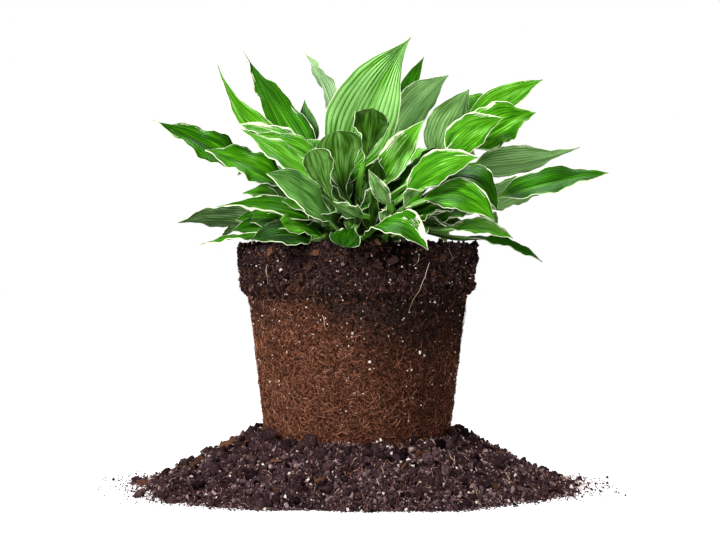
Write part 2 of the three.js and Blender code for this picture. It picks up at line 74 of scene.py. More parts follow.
# Each leaf: joint of stalk and blade, tip, width, bow, roll, fold, twist, edge wave, then its looks:
# tone (0 darkest green, 1 palest) and how wide its cream margin is. The tone is partly the leaf's own
# green and partly painted shade: leaves that sit in shade get darker tones.
LEAVES = [
    ("tall_middle", (-10, 22, 212), (37, 38, 306), 58, 8, 82, 12, 0, 1.0, 0.93, 0.8),
    ("tall_left", (-29, 13, 212), (-80, 45, 297), 29, -1, -58, 26, 40, 2.4, 0.4, 1.6),
    ("outer_left_high", (-41, -2, 222), (-94, 6, 283), 22, -9, -50, 26, 0, 1.0, 0.7, 1.2),
    ("left_pale", (-30, -11, 216), (-79, -11, 242), 24, 4, -42, 20, 0, 1.2, 0.55, 2.6),
    ("left_broad_upper", (-21, -24, 208), (-71, -26, 233), 26, 5, -50, 18, 0, 1.0, 0.66, 2.0),
    ("left_broad_lower", (-19, -42, 191), (-75, -45, 236), 29, 3, -50, 18, 0, 1.4, 0.68, 1.8),
    ("left_short", (-17, 2, 216), (-47, 7, 231), 19, 3, -40, 20, 0, 0.8, 0.5, 2.0),
    ("far_left", (-76, -14, 213), (-135, -15, 244), 26, 2, -55, 22, 0, 2.2, 0.28, 1.2),
    ("left_wavy", (-47, -35, 200), (-98, -42, 223), 27, 3, -55, 18, 0, 2.0, 0.52, 1.4),
    ("left_front_pale", (-18, -60, 176), (-56, -82, 206), 41, 4, -58, 12, 0, 0.8, 0.66, 1.2),
    ("left_flat", (-26, -48, 177), (-89, -58, 186), 20, 6, -46, 20, 0, 0.8, 0.45, 1.8),
    ("low_left_grey", (-58, -14, 172), (-119, -10, 177), 26, 4, 36, 24, 0, 1.2, 0.5, 1.2),
    ("lowest_left", (-46, -34, 167), (-103, -34, 162.5), 24, 2, -12, 14, 0, 1.0, 0.42, 1.2),
    ("front_left_dark", (-30, -61, 165), (-65, -88, 165), 26, 3, -35, 16, 0, 0.9, 0.14, 0.3),
    ("back_pale", (-15, 55, 244), (-38, 75, 300), 30, 4, 75, 24, 0, 1.5, 0.9, 1.8),
    ("back_slim", (-29, 36, 232), (-37, 46, 263), 14, -3, -40, 24, 0, 0.5, 0.5, 1.0),
    ("spoon_left", (-6, -43, 190), (-14, -38, 236), 35, -6, 0, 26, 0, 1.6, 0.34, 0.6),
    ("spoon_right", (4, -52, 213), (10, -40, 250), 24, -5, 0, 18, 0, 3.0, 0.22, 0.5),
    ("right_bright", (17, -34, 199), (44, -18, 244), 25, 3, 75, 22, 0, 1.0, 0.76, 2.2),
    ("front_right_bright", (33, -54, 196), (76, -64, 217), 30, 5, 62, 16, 0, 1.0, 0.6, 1.4),
    ("right_strip", (35, -39, 202), (61, -36, 228), 15, -3, 20, 26, 0, 0.6, 0.5, 1.8),
    ("young_funnel", (20, -70, 187), (7, -79, 209), 12, -3, 10, 50, 0, 0.6, 0.7, 2.2),
    ("young_spoon", (28, -64, 184), (40, -80, 195), 17, 2, 10, 46, 0, 0.6, 0.7, 1.8),
    ("front_arching", (6, -68, 168), (43, -98, 159), 27, 12, 28, 16, 0, 1.0, 0.4, 1.6),
    ("front_small_dark", (-2, -73, 172), (-9, -88, 161), 20, 3, 0, 14, 0, 1.0, 0.15, 0.8),
    ("front_collar", (3, -70, 180), (-15, -84, 189), 14, -2, 10, 26, 0, 1.2, 0.65, 0.5),
    ("young_blade", (6, -56, 188), (18, -62, 203), 14, -2, 10, 30, 0, 0.8, 0.7, 1.6),
    ("right_drooping", (50, -30, 197), (90, -42, 184), 34, 14, 26, 18, 0, 1.4, 0.26, 1.2),
    ("right_grey_inner", (84, -10, 187), (128, -10, 197), 27, 4, -45, 22, 0, 1.2, 0.85, 1.0),
    ("right_grey_outer", (80, 10, 216), (150, 10, 228), 28, -3, -48, 20, 0, 1.0, 0.9, 1.0),
    ("far_right", (94, -28, 193), (164, -26, 209), 26, 2, 44, 24, 0, 1.4, 0.36, 1.2),
    ("right_front_broad", (43, -56, 190), (86, -69, 177), 27, 9, 44, 16, 0, 1.0, 0.5, 1.6),
    ("right_front_low", (60, -47, 172), (99, -54, 166), 18, 4, 34, 20, 0, 0.8, 0.62, 1.6),
    ("right_hanging", (70, -26, 166), (120, -32, 151), 11, 5, 12, 18, 40, 1.0, 0.25, 0.4),
    ("upper_right_outer", (78, 44, 244), (130, 54, 278), 24, 3, 50, 18, 0, 0.8, 0.64, 1.6),
    ("upper_right_back", (68, 62, 243), (99, 80, 269), 26, 4, 40, 18, 0, 1.0, 0.55, 1.4),
    ("right_ruffled", (74, 0, 226), (120, 6, 251), 36, 5, 60, 16, 0, 2.4, 0.58, 2.2),
    ("right_bright_upper", (60, -20, 221), (95, -24, 245), 28, 4, 68, 16, 0, 1.0, 0.56, 1.6),
    ("upper_right_grey", (55, 15, 219), (76, 21, 268), 34, 2, -80, 18, 0, 1.2, 0.78, 1.0),
    ("back_right_folded", (24, 50, 231), (64, 60, 282), 36, 4, -80, 22, 0, 1.2, 0.95, 1.8),
    ("back_narrow", (29, 84, 257), (48, 90, 298), 13, 2, 40, 24, 0, 0.6, 0.3, 1.0),
    ("right_low_young", (38, -70, 171), (38, -93, 163), 12, 4, 0, 18, 0, 0.6, 0.6, 1.2),
    ("young_left", (-14, -65, 189), (-29, -66, 222), 24, -3, 0, 36, 0, 1.2, 0.42, 0.8),
    ("right_inner_dark", (40, -38, 176), (76, -51, 186), 29, 6, 28, 18, 0, 1.2, 0.3, 0.5),
    ("left_inner_dark", (-30, -16, 178), (-62, -34, 187), 26, 3, -45, 18, 0, 1.0, 0.4, 0.5),
    ("rear_right_low", (58, 34, 178), (100, 66, 171), 36, 12, 0, 20, 0, 1.8, 0.6, 1.8),
    ("rear_right_mid", (44, 58, 208), (86, 102, 228), 40, 11, 0, 22, 0, 1.6, 0.62, 1.6),
    ("rear_right_floor", (36, 62, 172), (66, 116, 163), 36, 11, 0, 20, 0, 1.6, 0.5, 2.0),
    ("rear_middle_high", (2, 62, 222), (2, 112, 262), 40, 9, 0, 22, 0, 1.4, 0.68, 1.6),
    ("rear_middle_low", (4, 64, 184), (12, 128, 176), 40, 14, 0, 20, 0, 1.8, 0.6, 1.8),
    ("rear_left_high", (-36, 50, 218), (-74, 92, 252), 38, 9, 0, 22, 0, 1.4, 0.62, 1.4),
    ("rear_left_low", (-32, 58, 178), (-62, 110, 168), 38, 12, 0, 20, 0, 1.8, 0.55, 1.8),
    ("rear_left_side", (-50, 36, 196), (-86, 74, 212), 36, 9, 0, 22, 0, 1.6, 0.6, 1.6),
    ("rear_left_floor", (-56, 28, 170), (-96, 50, 166), 30, 9, 0, 20, 0, 1.4, 0.5, 1.6),
]
SPATULATE = {"spoon_left", "spoon_right", "young_left", "young_spoon", "front_small_dark"}
LONG_TIPPED = {"left_flat", "right_grey_outer", "outer_left_high", "lowest_left"}
BROAD_BASED = {"tall_middle", "tall_left", "far_left", "back_pale"}
STRONGLY_RIBBED = {
    "tall_middle", "left_front_pale", "low_left_grey", "right_grey_inner", "right_grey_outer", "back_pale",
}  # fmt: skip
# Leaves with a broad cream band down one side: which side, as across the blade, and how broad.
CREAM_SIDE = {
    "tall_middle": 1,
    "left_pale": 1.8,
    "front_arching": -5,
    "right_bright": -1.6,
    "right_bright_upper": -1,
    "right_ruffled": -1,
    "right_front_low": -1,
    "young_funnel": -1,
    "front_right_bright": -1,
}
# Leaves with a grey waxy bloom, 1 being fully grey.
BLOOM = {
    "left_front_pale": 0.2,
    "back_pale": 0.28,
    "low_left_grey": 0.2,
    "back_slim": 0.3,
}
# Leaves in the shade between the stalks: joint, tip, width and roll.
SHADE_LEAVES = [
    ((22, -30, 176), (56, -40, 204), 30, 40),
    ((30, -30, 172), (70, -34, 190), 26, 30),
    ((16, -26, 180), (38, -30, 214), 28, 60),
    ((26, -40, 168), (58, -56, 184), 24, 35),
    ((8, -30, 182), (16, -34, 218), 24, 20),
    ((-20, -36, 172), (-48, -52, 190), 26, -40),
    ((-30, -30, 170), (-78, -44, 178), 26, -45),
    ((-36, -36, 167), (-80, -52, 171), 24, -40),
    ((-24, -46, 167), (-52, -72, 172), 24, -45),
    ((-28, -20, 178), (-58, -26, 200), 24, -50),
    ((-12, -40, 176), (-24, -54, 204), 22, -20),
    ((-40, -10, 186), (-76, -12, 196), 20, -50),
    ((44, -20, 176), (84, -26, 186), 24, 40),
    ((36, -8, 196), (66, -10, 226), 26, 60),
    ((8, -60, 172), (9, -66, 198), 12, 0),
    ((19, -60, 170), (23, -68, 190), 12, 10),
    ((-3, -60, 170), (-7, -66, 190), 12, -10),
    ((28, -58, 170), (34, -68, 186), 12, 10),
]

VEINS = 7  # on each side of a midrib
LEAF_COLUMNS = 4 * VEINS
STALK_ROWS = 7
BLADE_ROWS = 28
REAR_COLUMNS = 16
REAR_BLADE_ROWS = 22
INNER_COLUMNS = 12
INNER_STALK_ROWS = 5
INNER_BLADE_ROWS = 14
THICKEST = 3.0  # a leaf's stalk, which the thickness weights are shares of
NOTES = ("across", "along", "rim", "tone", "margin", "ribs", "relief", "bloom")
LOW_OR_STANDING_LEAVES = 40
GOLDEN_ANGLE = 137.508

# ---------------------------------------------------------------- how many of each small thing
BODY_ROOTS, RIM_ROOTS, STANDING_ROOTS, MOUND_FIBRES = 4800, 2200, 900, 1500
RIM_CRUMBS, TOP_CRUMBS, BODY_CRUMBS = 6600, 1500, 900
SIDE_PERLITE, TOP_PERLITE, MOUND_PERLITE = 900, 60, 420
MOUND_CRUMBS, MOUND_GRAINS, EXTRA_CLODS, SCATTERED_GRAINS = 3900, 11600, 250, 4200
RIM_BARK, TOP_BARK, MOUND_BARK = 26, 46, 110
ROOT_SIDES = 3
ROOT_BALL_STEPS, MOUND_STEPS = 252, 240


# ---------------------------------------------------------------- form of soil and roots
def chance(a, b=0):
    s = math.sin(a * 127.1 + b * 311.7 + 17.3) * 43758.5453
    return s - math.floor(s)


def lumps(x, y, z, size):
    a, b, c = x / size, y / size, z / size
    coarse = math.sin(a * 2.1 + math.sin(b * 1.7 + c)) * math.cos(b * 2.3 + math.sin(c * 1.9 - a))
    fine = math.sin(a * 4.7 - c * 3.1 + 1.3) * math.cos(b * 5.3 + c * 4.1 + 0.6)
    return 0.65 * coarse + 0.35 * fine


def grit(x, y, z, size):
    """Random roughness between about -1 and 1 with grains of that size."""
    return noise.noise(Vector((x, y, z)) / size)


def interpolate(pairs, key):
    keys = [pair[0] for pair in pairs]
    values = [pair[1] for pair in pairs]
    return float(np.interp(key, keys, values))


def polar(radius, angle, height):
    return Vector((radius * math.cos(angle), radius * math.sin(angle), height))


def around(rng):
    """A random bearing."""
    return rng.uniform(0, TAU)


def rim_hollow(angle, height):
    turn = (angle - HOLLOW["bearing"] + math.pi) % TAU - math.pi
    across = turn / HOLLOW["spread"]
    along = (height - HOLLOW["height"]) / HOLLOW["drop"]
    return HOLLOW["depth"] * math.exp(-(across**2) - along**2)


def root_ball_radius(angle, height):
    """Radius of the root ball's matted side, with its finest grain."""
    radius = interpolate([(z, r) for r, z in ROOT_BALL_OUTLINE], height)
    if height <= SEAT_TOP:
        return radius - 0.1
    rough = 1.5 if height > 130 else 0.8
    at = polar(radius, angle, height)
    blend = min(1, (height - SEAT_TOP) / 12)
    relief = rough * lumps(at.x, at.y, height, 11)
    grain = 0.55 * grit(*at, 4.5) + 0.35 * grit(*at, 1.9)
    if height > 127:
        grain += 0.9 * grit(at.x + 40, at.y, at.z, 6)
    return radius + blend * (relief + grain) - rim_hollow(angle, height)


def side_point(angle, height, lift=0.0):
    """A place on the root ball's side, or that far off it."""
    return polar(root_ball_radius(angle, height) + lift, angle, height)


def top_soil_height(x, y):
    return ROOT_BALL_TOP + 1.2 * lumps(x, y, 3, 17) + 0.9 * grit(x, y, 1, 5) + 0.5 * grit(x, y, 7, 2)


def crown_height(x, y):
    reach = min(1, (x * x + y * y) / CROWN_RADIUS**2)
    return CROWN_EDGE + CROWN_RISE * (1 - reach) + 0.7 * lumps(x, y, 9, 9)


def mound_reach(angle):
    side = MOUND_REACH["right"] if math.cos(angle) > 0 else MOUND_REACH["left"]
    depth = MOUND_REACH["back"] if math.sin(angle) > 0 else MOUND_REACH["front"]
    ellipse = 1 / math.hypot(math.cos(angle) / side, math.sin(angle) / depth)
    return ellipse * (1 + 0.03 * math.sin(5 * angle + 1) + 0.02 * math.sin(11 * angle))


def heap_edge(angle):
    """Share of the mound's reach where the heap itself ends and only strewn crumbs go on."""
    x, y = math.cos(angle), math.sin(angle)
    drawn_in = 0.10 + 0.09 * max(0, -x) ** 4 + 0.03 * max(0, x) ** 4
    return 1 - drawn_in + 0.05 * grit(x, y, 2, 0.22) + 0.03 * grit(x, y, 5, 0.07)


def heap_reach(angle):
    return MOUND_INNER_RADIUS + heap_edge(angle) * (mound_reach(angle) - MOUND_INNER_RADIUS)


def mound_height(share, angle):
    """Height of the heap at a share of the way out, with its lumps and grain."""
    radius = MOUND_INNER_RADIUS + share * (mound_reach(angle) - MOUND_INNER_RADIUS)
    height = interpolate(MOUND_PROFILE, share) * min(1, max(0, (heap_edge(angle) - share) / 0.12)) ** 0.6
    at = polar(radius, angle, 5)
    relief = min(2.6, 0.16 * height)
    grain = 1.3 * grit(*at, 8) + 0.9 * grit(*at, 3.2)
    return max(0.1, height + relief * lumps(at.x, at.y, 5, 9) + grain * min(1, height / 7))


def mound_point(share, angle, lift=0.0):
    radius = MOUND_INNER_RADIUS + share * (mound_reach(angle) - MOUND_INNER_RADIUS)
    return polar(radius, angle, mound_height(share, angle) + lift)


# ---------------------------------------------------------------- material helpers
def material(name, **settings):
    made = bpy.data.materials.new(name)
    made.use_nodes = True
    shader = made.node_tree.nodes["Principled BSDF"]
    for socket, value in settings.items():
        shader.inputs[socket.replace("_", " ")].default_value = value
    return made, made.node_tree, shader


def add(tree, kind, inputs=None, **settings):
    made = tree.nodes.new(kind)
    for key, value in settings.items():
        setattr(made, key, value)
    for socket, value in (inputs or {}).items():
        if isinstance(value, bpy.types.NodeSocket):
            tree.links.new(value, made.inputs[socket])
        else:
            made.inputs[socket].default_value = value
    return made


def calc(operation, a, b=0.5):
    """One step of arithmetic on two values, at least one of them a socket."""
    tree = next(value.id_data for value in (a, b) if isinstance(value, bpy.types.NodeSocket))
    return add(tree, "ShaderNodeMath", {0: a, 1: b}, operation=operation).outputs[0]


def plus(a, b):
    return calc("ADD", a, b)


def minus(a, b):
    return calc("SUBTRACT", a, b)


def times(a, b):
    return calc("MULTIPLY", a, b)


def varied(value, pattern, amount):
    """A value moved up and down by a pattern that runs from 0 to 1."""
    return plus(value, times(minus(pattern, 0.5), amount))


def mixed(tree, factor, a, b, blend="MIX"):
    made = add(tree, "ShaderNodeMix", data_type="RGBA", blend_type=blend)
    for index, value in ((0, factor), (6, a), (7, b)):
        if isinstance(value, bpy.types.NodeSocket):
            tree.links.new(value, made.inputs[index])
        else:
            made.inputs[index].default_value = (*value, 1) if isinstance(value, tuple) else value
    return made.outputs[2]


def step(tree, value, low, high):
    """0 below low, 1 above high and smooth between; low may be above high."""
    inputs = {"Value": value, "From Min": low, "From Max": high}
    made = add(tree, "ShaderNodeMapRange", inputs, interpolation_type="SMOOTHSTEP")
    return made.outputs[0]


def measure(tree, name):
    return add(tree, "ShaderNodeAttribute", attribute_name=name).outputs["Fac"]


def place(tree):
    return add(tree, "ShaderNodeTexCoord").outputs["Object"]


def noisy(tree, vector, scale, detail=2.0, roughness=0.5):
    inputs = {"Vector": vector, "Scale": scale, "Detail": detail, "Roughness": roughness}
    return add(tree, "ShaderNodeTexNoise", inputs).outputs[0]


def ramp(tree, factor, *stops):
    made = add(tree, "ShaderNodeValToRGB", {0: factor})
    elements = made.color_ramp.elements
    while len(elements) < len(stops):
        elements.new(0.5)
    for element, (position, colour) in zip(elements, stops):
        element.position = position
        element.color = (*colour, 1)
    return made.outputs[0]


def paint(shader, colour):
    shader.id_data.links.new(colour, shader.inputs["Base Color"])


def bumped(tree, shader, height, distance, strength=1.0):
    made = add(tree, "ShaderNodeBump", {"Height": height, "Distance": distance, "Strength": strength})
    tree.links.new(made.outputs[0], shader.inputs["Normal"])


# ---------------------------------------------------------------- finishes
LEAF_GREENS = {
    True: ((0.0, (0.0036, 0.020, 0.0004)), (0.29, (0.0095, 0.062, 0.0004)), (0.53, (0.0260, 0.142, 0.0008)),
           (0.77, (0.0720, 0.260, 0.0080)), (1.0, (0.2600, 0.560, 0.150))),
    False: ((0.0, (0.0036, 0.017, 0.0006)), (0.3, (0.0170, 0.056, 0.003)), (0.6, (0.0680, 0.155, 0.032)),
            (1.0, (0.2100, 0.400, 0.135))),
}  # fmt: skip
CREAM = {True: (0.50, 0.56, 0.36), False: (0.40, 0.45, 0.29)}


def leaf_finish(name, upper):
    gloss = 0.025 if upper else 0.01
    made, tree, shader = material(name, Roughness=0.45 if upper else 0.6, Specular_IOR_Level=gloss)
    across, along, rim = (measure(tree, key) for key in ("across", "along", "rim"))
    tone, margin, ribs = (measure(tree, key) for key in ("tone", "margin", "ribs"))
    where = place(tree)

    # Streaks run with the veins: fine across the leaf and long along it.
    inputs = {
        0: times(across, 19.0),
        1: times(along, 3.0),
        2: times(tone, 37.0),
    }
    streaks = noisy(tree, add(tree, "ShaderNodeCombineXYZ", inputs).outputs[0], 1.0, 3.0, 0.65)
    inputs = {
        0: times(across, 3.5),
        1: times(along, 2.4),
        2: times(tone, 53.0),
    }
    patches = noisy(tree, add(tree, "ShaderNodeCombineXYZ", inputs).outputs[0], 1.0, 2.0, 0.6)

    ridge = calc("COSINE", times(across, TAU * VEINS))
    vein = step(tree, ridge, -0.65, -1.0)
    fine = calc("COSINE", times(across, 6 * math.pi * VEINS))

    shade = varied(tone, patches, 1.1)
    breadth = plus(times(measure(tree, "relief"), 0.75), 0.1)
    shade = varied(shade, streaks, breadth)
    # Painted light and shade of the pleats: the ridges are lighter and the grooves darker.
    shade = plus(shade, times(times(ridge, ribs), 0.06))
    shade = plus(shade, times(fine, 0.03))
    # Painted shade: the blade is darker towards its base by the stalk, where other leaves shade it.
    shade = minus(shade, times(step(tree, along, 0.30, 0.0), 0.16))
    green = ramp(tree, shade, *LEAF_GREENS[upper])
    dark = mixed(tree, 1.0, green, (0.30, 0.40, 0.25), "MULTIPLY")
    veined = mixed(tree, times(vein, plus(times(ribs, 0.6), 0.2)), green, dark)

    inputs = {"Color": veined, "Saturation": minus(1.0, times(measure(tree, "bloom"), 0.75))}
    veined = add(tree, "ShaderNodeHueSaturation", inputs).outputs[0]

    # A thin cream margin, ragged where it runs in along the veins, with a darker line beside it.
    uneven = step(tree, noisy(tree, where, 90.0, 2.0), 0.40, 0.64)
    ragged = times(step(tree, streaks, 0.50, 0.78), times(margin, 2.7))
    thin = times(margin, plus(times(uneven, 0.26), 0.10))
    border = plus(thin, times(ragged, uneven))
    inside = minus(rim, border)
    beside = times(step(tree, inside, 1.3, 0.2), 0.42)
    coloured = mixed(tree, beside, veined, dark)
    coloured = mixed(tree, step(tree, inside, 0.2, -0.1), coloured, CREAM[upper])

    stalk = step(tree, along, 0.10, -0.03)
    stalk_colour = ramp(
        tree,
        plus(along, 1.0),
        (0.0, (0.26, 0.34, 0.15)),
        (0.35, (0.135, 0.310, 0.035)),
        (1.0, (0.060, 0.230, 0.010)),
    )
    lined = mixed(tree, times(step(tree, fine, 0.2, 1.0), 0.35), stalk_colour, (0.16, 0.27, 0.07))
    coloured = mixed(tree, times(stalk, 0.85), coloured, lined)
    middle = times(step(tree, calc("ABSOLUTE", across), 0.045, 0.015), 0.4)
    coloured = mixed(tree, times(middle, step(tree, along, 0.95, 0.2)), coloured, (0.11, 0.26, 0.03))
    paint(shader, coloured)

    relief = times(times(vein, ribs), -0.9)
    relief = plus(relief, times(times(ridge, ribs), 0.45))
    relief = plus(relief, times(fine, 0.10))
    relief = plus(relief, times(streaks, 0.8))
    relief = times(relief, measure(tree, "relief"))
    relief = plus(relief, times(noisy(tree, where, 1300.0, 1.0), 0.4))
    bumped(tree, shader, relief, 0.00026, 0.9)
    rough = plus(times(streaks, 0.2), 0.30 if upper else 0.46)
    tree.links.new(rough, shader.inputs["Roughness"])
    return made


def near(tree, where, centre, reach):
    """1 at a point and 0 beyond a distance from it, both in millimetres."""
    inputs = {0: where, 1: tuple(c * MM for c in centre)}
    distance = add(tree, "ShaderNodeVectorMath", inputs, operation="DISTANCE").outputs["Value"]
    return step(tree, distance, reach * MM, 0.25 * reach * MM)


def root_mat_finish():
    """Matted brown roots in the body, dark crumbly soil in the rim and lower on the right, and painted
    shade on the right side and in the front hollow.
    """
    made, tree, shader = material("matted_roots", Roughness=1.0, Specular_IOR_Level=0.0)
    where = place(tree)
    warp = add(tree, "ShaderNodeTexNoise", {"Vector": where, "Scale": 120.0, "Detail": 2.0}).outputs[1]
    bent = add(tree, "ShaderNodeMix", {0: 0.035, 4: where, 5: warp}, data_type="VECTOR").outputs[1]
    lines = []
    for scale in (260.0, 430.0, 640.0):
        inputs = {"Vector": bent, "Scale": scale}
        cells = add(tree, "ShaderNodeTexVoronoi", inputs, feature="DISTANCE_TO_EDGE")
        lines.append(step(tree, cells.outputs[0], 0.13, 0.02))
    web = calc("MAXIMUM", calc("MAXIMUM", lines[0], lines[1]), lines[2])
    axes = add(tree, "ShaderNodeSeparateXYZ", {0: where}).outputs
    clouds = noisy(tree, where, 24.0, 3.0, 0.6)
    grains = noisy(tree, where, 620.0, 2.0, 0.7)
    grains = step(tree, grains, 0.34, 0.68)

    deep = mixed(tree, clouds, (0.004, 0.002, 0.0015), (0.018, 0.007, 0.005))
    strand = mixed(tree, grains, (0.038, 0.013, 0.007), (0.280, 0.108, 0.062))
    matted = mixed(tree, times(web, 0.68), deep, strand)
    soil = mixed(tree, grains, (0.0025, 0.0016, 0.0016), (0.040, 0.027, 0.024))
    lower = times(step(tree, axes[0], -0.040, 0.012), 0.026)
    edge = varied(plus(axes[2], lower), clouds, 0.085)
    dark = times(step(tree, edge, 0.104, 0.140), 0.92)
    coloured = mixed(tree, dark, matted, soil)
    # Painted shade: the right side of the root ball is mixed partly towards the dark gap colour, as if lit
    # from the left.
    shaded = mixed(tree, times(step(tree, axes[0], -0.02, 0.05), 0.45), coloured, deep)
    # Painted shade: the crumbled hollow in the front of the rim is painted near black.
    hollow = polar(75, HOLLOW["bearing"], HOLLOW["height"])
    shaded = mixed(tree, near(tree, where, hollow, 17), shaded, (0.0018, 0.0012, 0.001))
    paint(shader, shaded)
    bumped(tree, shader, plus(web, grains), 0.0009, 1.0)
    return made


def strand_finish():
    made, tree, shader = material("root_strands", Roughness=1.0, Specular_IOR_Level=0.0)
    tone = measure(tree, "tone")
    speck = noisy(tree, place(tree), 500.0, 1.0)
    shade = varied(tone, speck, 0.3)
    colour = ramp(
        tree,
        shade,
        (0.0, (0.006, 0.003, 0.002)),
        (0.35, (0.040, 0.015, 0.009)),
        (0.7, (0.240, 0.092, 0.050)),
        (1.0, (0.560, 0.450, 0.350)),
    )
    paint(shader, colour)
    bumped(tree, shader, speck, 0.0001, 0.5)
    return made


def soil_finish():
    """Dark potting soil; each crumb has its own tone."""
    made, tree, shader = material("potting_soil", Roughness=1.0, Specular_IOR_Level=0.0)
    where = place(tree)
    grains = noisy(tree, where, 700.0, 3.0, 0.75)
    clouds = noisy(tree, where, 45.0, 2.0)
    shade = varied(measure(tree, "tone"), grains, 1.1)
    shade = varied(shade, clouds, 0.25)
    colour = ramp(
        tree,
        shade,
        (0.0, (0.0025, 0.0012, 0.0014)),
        (0.35, (0.024, 0.0125, 0.0138)),
        (0.7, (0.088, 0.052, 0.054)),
        (1.0, (0.250, 0.175, 0.170)),
    )
    paint(shader, colour)
    bumped(tree, shader, grains, 0.0008, 1.0)
    return made


def perlite_finish():
    made, tree, shader = material("perlite", Roughness=0.8, Specular_IOR_Level=0.1)
    pits = noisy(tree, place(tree), 900.0, 3.0, 0.7)
    paint(shader, mixed(tree, pits, (0.26, 0.20, 0.18), (0.66, 0.58, 0.54)))
    bumped(tree, shader, pits, 0.0003, 0.8)
    return made


def bark_finish():
    made, tree, shader = material("bark", Roughness=0.85, Specular_IOR_Level=0.05)
    where = place(tree)
    flattened = add(tree, "ShaderNodeMapping", {"Vector": where, "Scale": (1, 1, 6)}).outputs[0]
    layers = noisy(tree, flattened, 260.0, 3.0)
    shade = varied(measure(tree, "tone"), layers, 0.6)
    colour = ramp(
        tree,
        shade,
        (0.0, (0.012, 0.006, 0.005)),
        (0.5, (0.046, 0.018, 0.010)),
        (1.0, (0.170, 0.075, 0.040)),
    )
    paint(shader, colour)
    bumped(tree, shader, layers, 0.0005, 0.8)
    return made


def crown_finish():
    made, tree, shader = material("crown_flesh", Roughness=0.85, Specular_IOR_Level=0.05)
    where = place(tree)
    blotches = noisy(tree, where, 160.0, 3.0, 0.6)
    grains = noisy(tree, where, 700.0, 2.0)
    flesh = mixed(tree, grains, (0.06, 0.055, 0.02), (0.15, 0.15, 0.06))
    soil = mixed(tree, grains, (0.004, 0.0025, 0.002), (0.030, 0.018, 0.014))
    paint(shader, mixed(tree, step(tree, blotches, 0.50, 0.42), flesh, soil))
    bumped(tree, shader, plus(grains, blotches), 0.0006, 0.8)
    return made


# ---------------------------------------------------------------- mesh helpers
def deselect():
    if bpy.context.mode != "OBJECT":
        bpy.ops.object.mode_set(mode="OBJECT")
    bpy.ops.object.select_all(action="DESELECT")


def only(piece):
    deselect()
    piece.select_set(True)
    bpy.context.view_layer.objects.active = piece


def edit_all(piece):
    only(piece)
    bpy.ops.object.mode_set(mode="EDIT")
    bpy.ops.mesh.select_all(action="SELECT")


def note(mesh, name, values):
    """Keeps a number for each point, which the materials read."""
    layer = mesh.attributes.new(name, "FLOAT", "POINT")
    layer.data.foreach_set("value", np.asarray(values, dtype=np.float32))


def finish(piece, name, finishes, replaced=()):
    """Names a finished piece, gives it its finishes and lets it go with the part."""
    piece.name = name
    piece.data.name = name
    if list(piece.data.materials) != finishes:
        piece.data.materials.clear()
        for item in finishes:
            piece.data.materials.append(item)
    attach(piece, "root")
    if replaced:
        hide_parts(*replaced)
    return piece


def mesh_object(name, points, faces):
    mesh = bpy.data.meshes.new(name)
    mesh.from_pydata(points, [], faces)
    piece = bpy.data.objects.new(name, mesh)
    bpy.context.scene.collection.objects.link(piece)
    return piece


def smooth(piece, degrees):
    only(piece)
    bpy.ops.object.shade_smooth_by_angle(angle=math.radians(degrees))


def spun(profile, steps):
    """A closed body turned from a profile that starts and ends on the Z axis."""
    deselect()
    piece = mesh_object("profile", [(r * MM, 0, z * MM) for r, z in profile], [])
    piece.data.edges.add(len(profile) - 1)
    for index, edge in enumerate(piece.data.edges):
        edge.vertices = (index, index + 1)
    edit_all(piece)
    bpy.ops.mesh.spin(steps=steps, angle=TAU, center=(0, 0, 0), axis=(0, 0, 1))
    bpy.ops.mesh.select_all(action="SELECT")
    bpy.ops.mesh.remove_doubles(threshold=0.00001)
    bpy.ops.mesh.normals_make_consistent(inside=False)
    bpy.ops.object.mode_set(mode="OBJECT")
    return piece


def taken(piece):
    """Points and faces of a template, which is then removed."""
    points = np.array([v.co[:] for v in piece.data.vertices])
    faces = np.array([p.vertices[:] for p in piece.data.polygons])
    bpy.data.objects.remove(piece)
    return points, faces


def lump_shape(seed, detail, jitter):
    """One crumb, as points and triangles about its middle."""
    deselect()
    bpy.ops.mesh.primitive_ico_sphere_add(subdivisions=detail, radius=1)
    piece = bpy.context.object
    edit_all(piece)
    bpy.ops.transform.vertex_random(offset=jitter, uniform=0.4, normal=0.6, seed=seed)
    bpy.ops.object.mode_set(mode="OBJECT")
    return taken(piece)


def grain_shape(seed):
    """The smallest crumb, with eight faces."""
    deselect()
    bpy.ops.mesh.primitive_cone_add(vertices=4, radius1=1, radius2=0, depth=1, end_fill_type="TRIFAN")
    piece = bpy.context.object
    for vertex in piece.data.vertices:
        if vertex.co.xy.length < 0.1 and vertex.co.z < 0:
            vertex.co.z -= 1
    edit_all(piece)
    bpy.ops.transform.vertex_random(offset=0.35, uniform=0.8, normal=0.2, seed=seed)
    bpy.ops.object.mode_set(mode="OBJECT")
    return taken(piece)


def strewn(name, shapes, places, finish_with, seed, sharp=35, laid=False):
    """Many small lumps as one mesh. Each place is (middle, size, tone).

    Laid ones lie against an upright side.
    """
    rng = random.Random(seed)
    points, faces, tones, count = [], [], [], 0
    for index, (middle, size, tone) in enumerate(places):
        shape, triangles = shapes[index % len(shapes)]
        turn = Euler([around(rng) for _ in range(3)]).to_matrix()
        if laid:
            out = Vector((middle.x, middle.y, 0)).normalized()
            turn = Euler((0.1, 0.2, rng.uniform(-0.5, 0.5))).to_matrix() @ Matrix((UP.cross(out), UP, out))
        squash = np.array([rng.uniform(0.75, 1.25) for _ in range(3)]) * size
        points.append((shape * squash) @ np.array(turn) + np.array(middle))
        faces.append(triangles + count)
        tones.append(np.full(len(shape), tone))
        count += len(shape)
    points = np.concatenate(points) * MM
    points[:, 2] = np.maximum(points[:, 2], 0)
    piece = mesh_object(name, points.tolist(), np.concatenate(faces).tolist())
    note(piece.data, "tone", np.concatenate(tones))
    smooth(piece, sharp)
    return finish(piece, name, [finish_with])


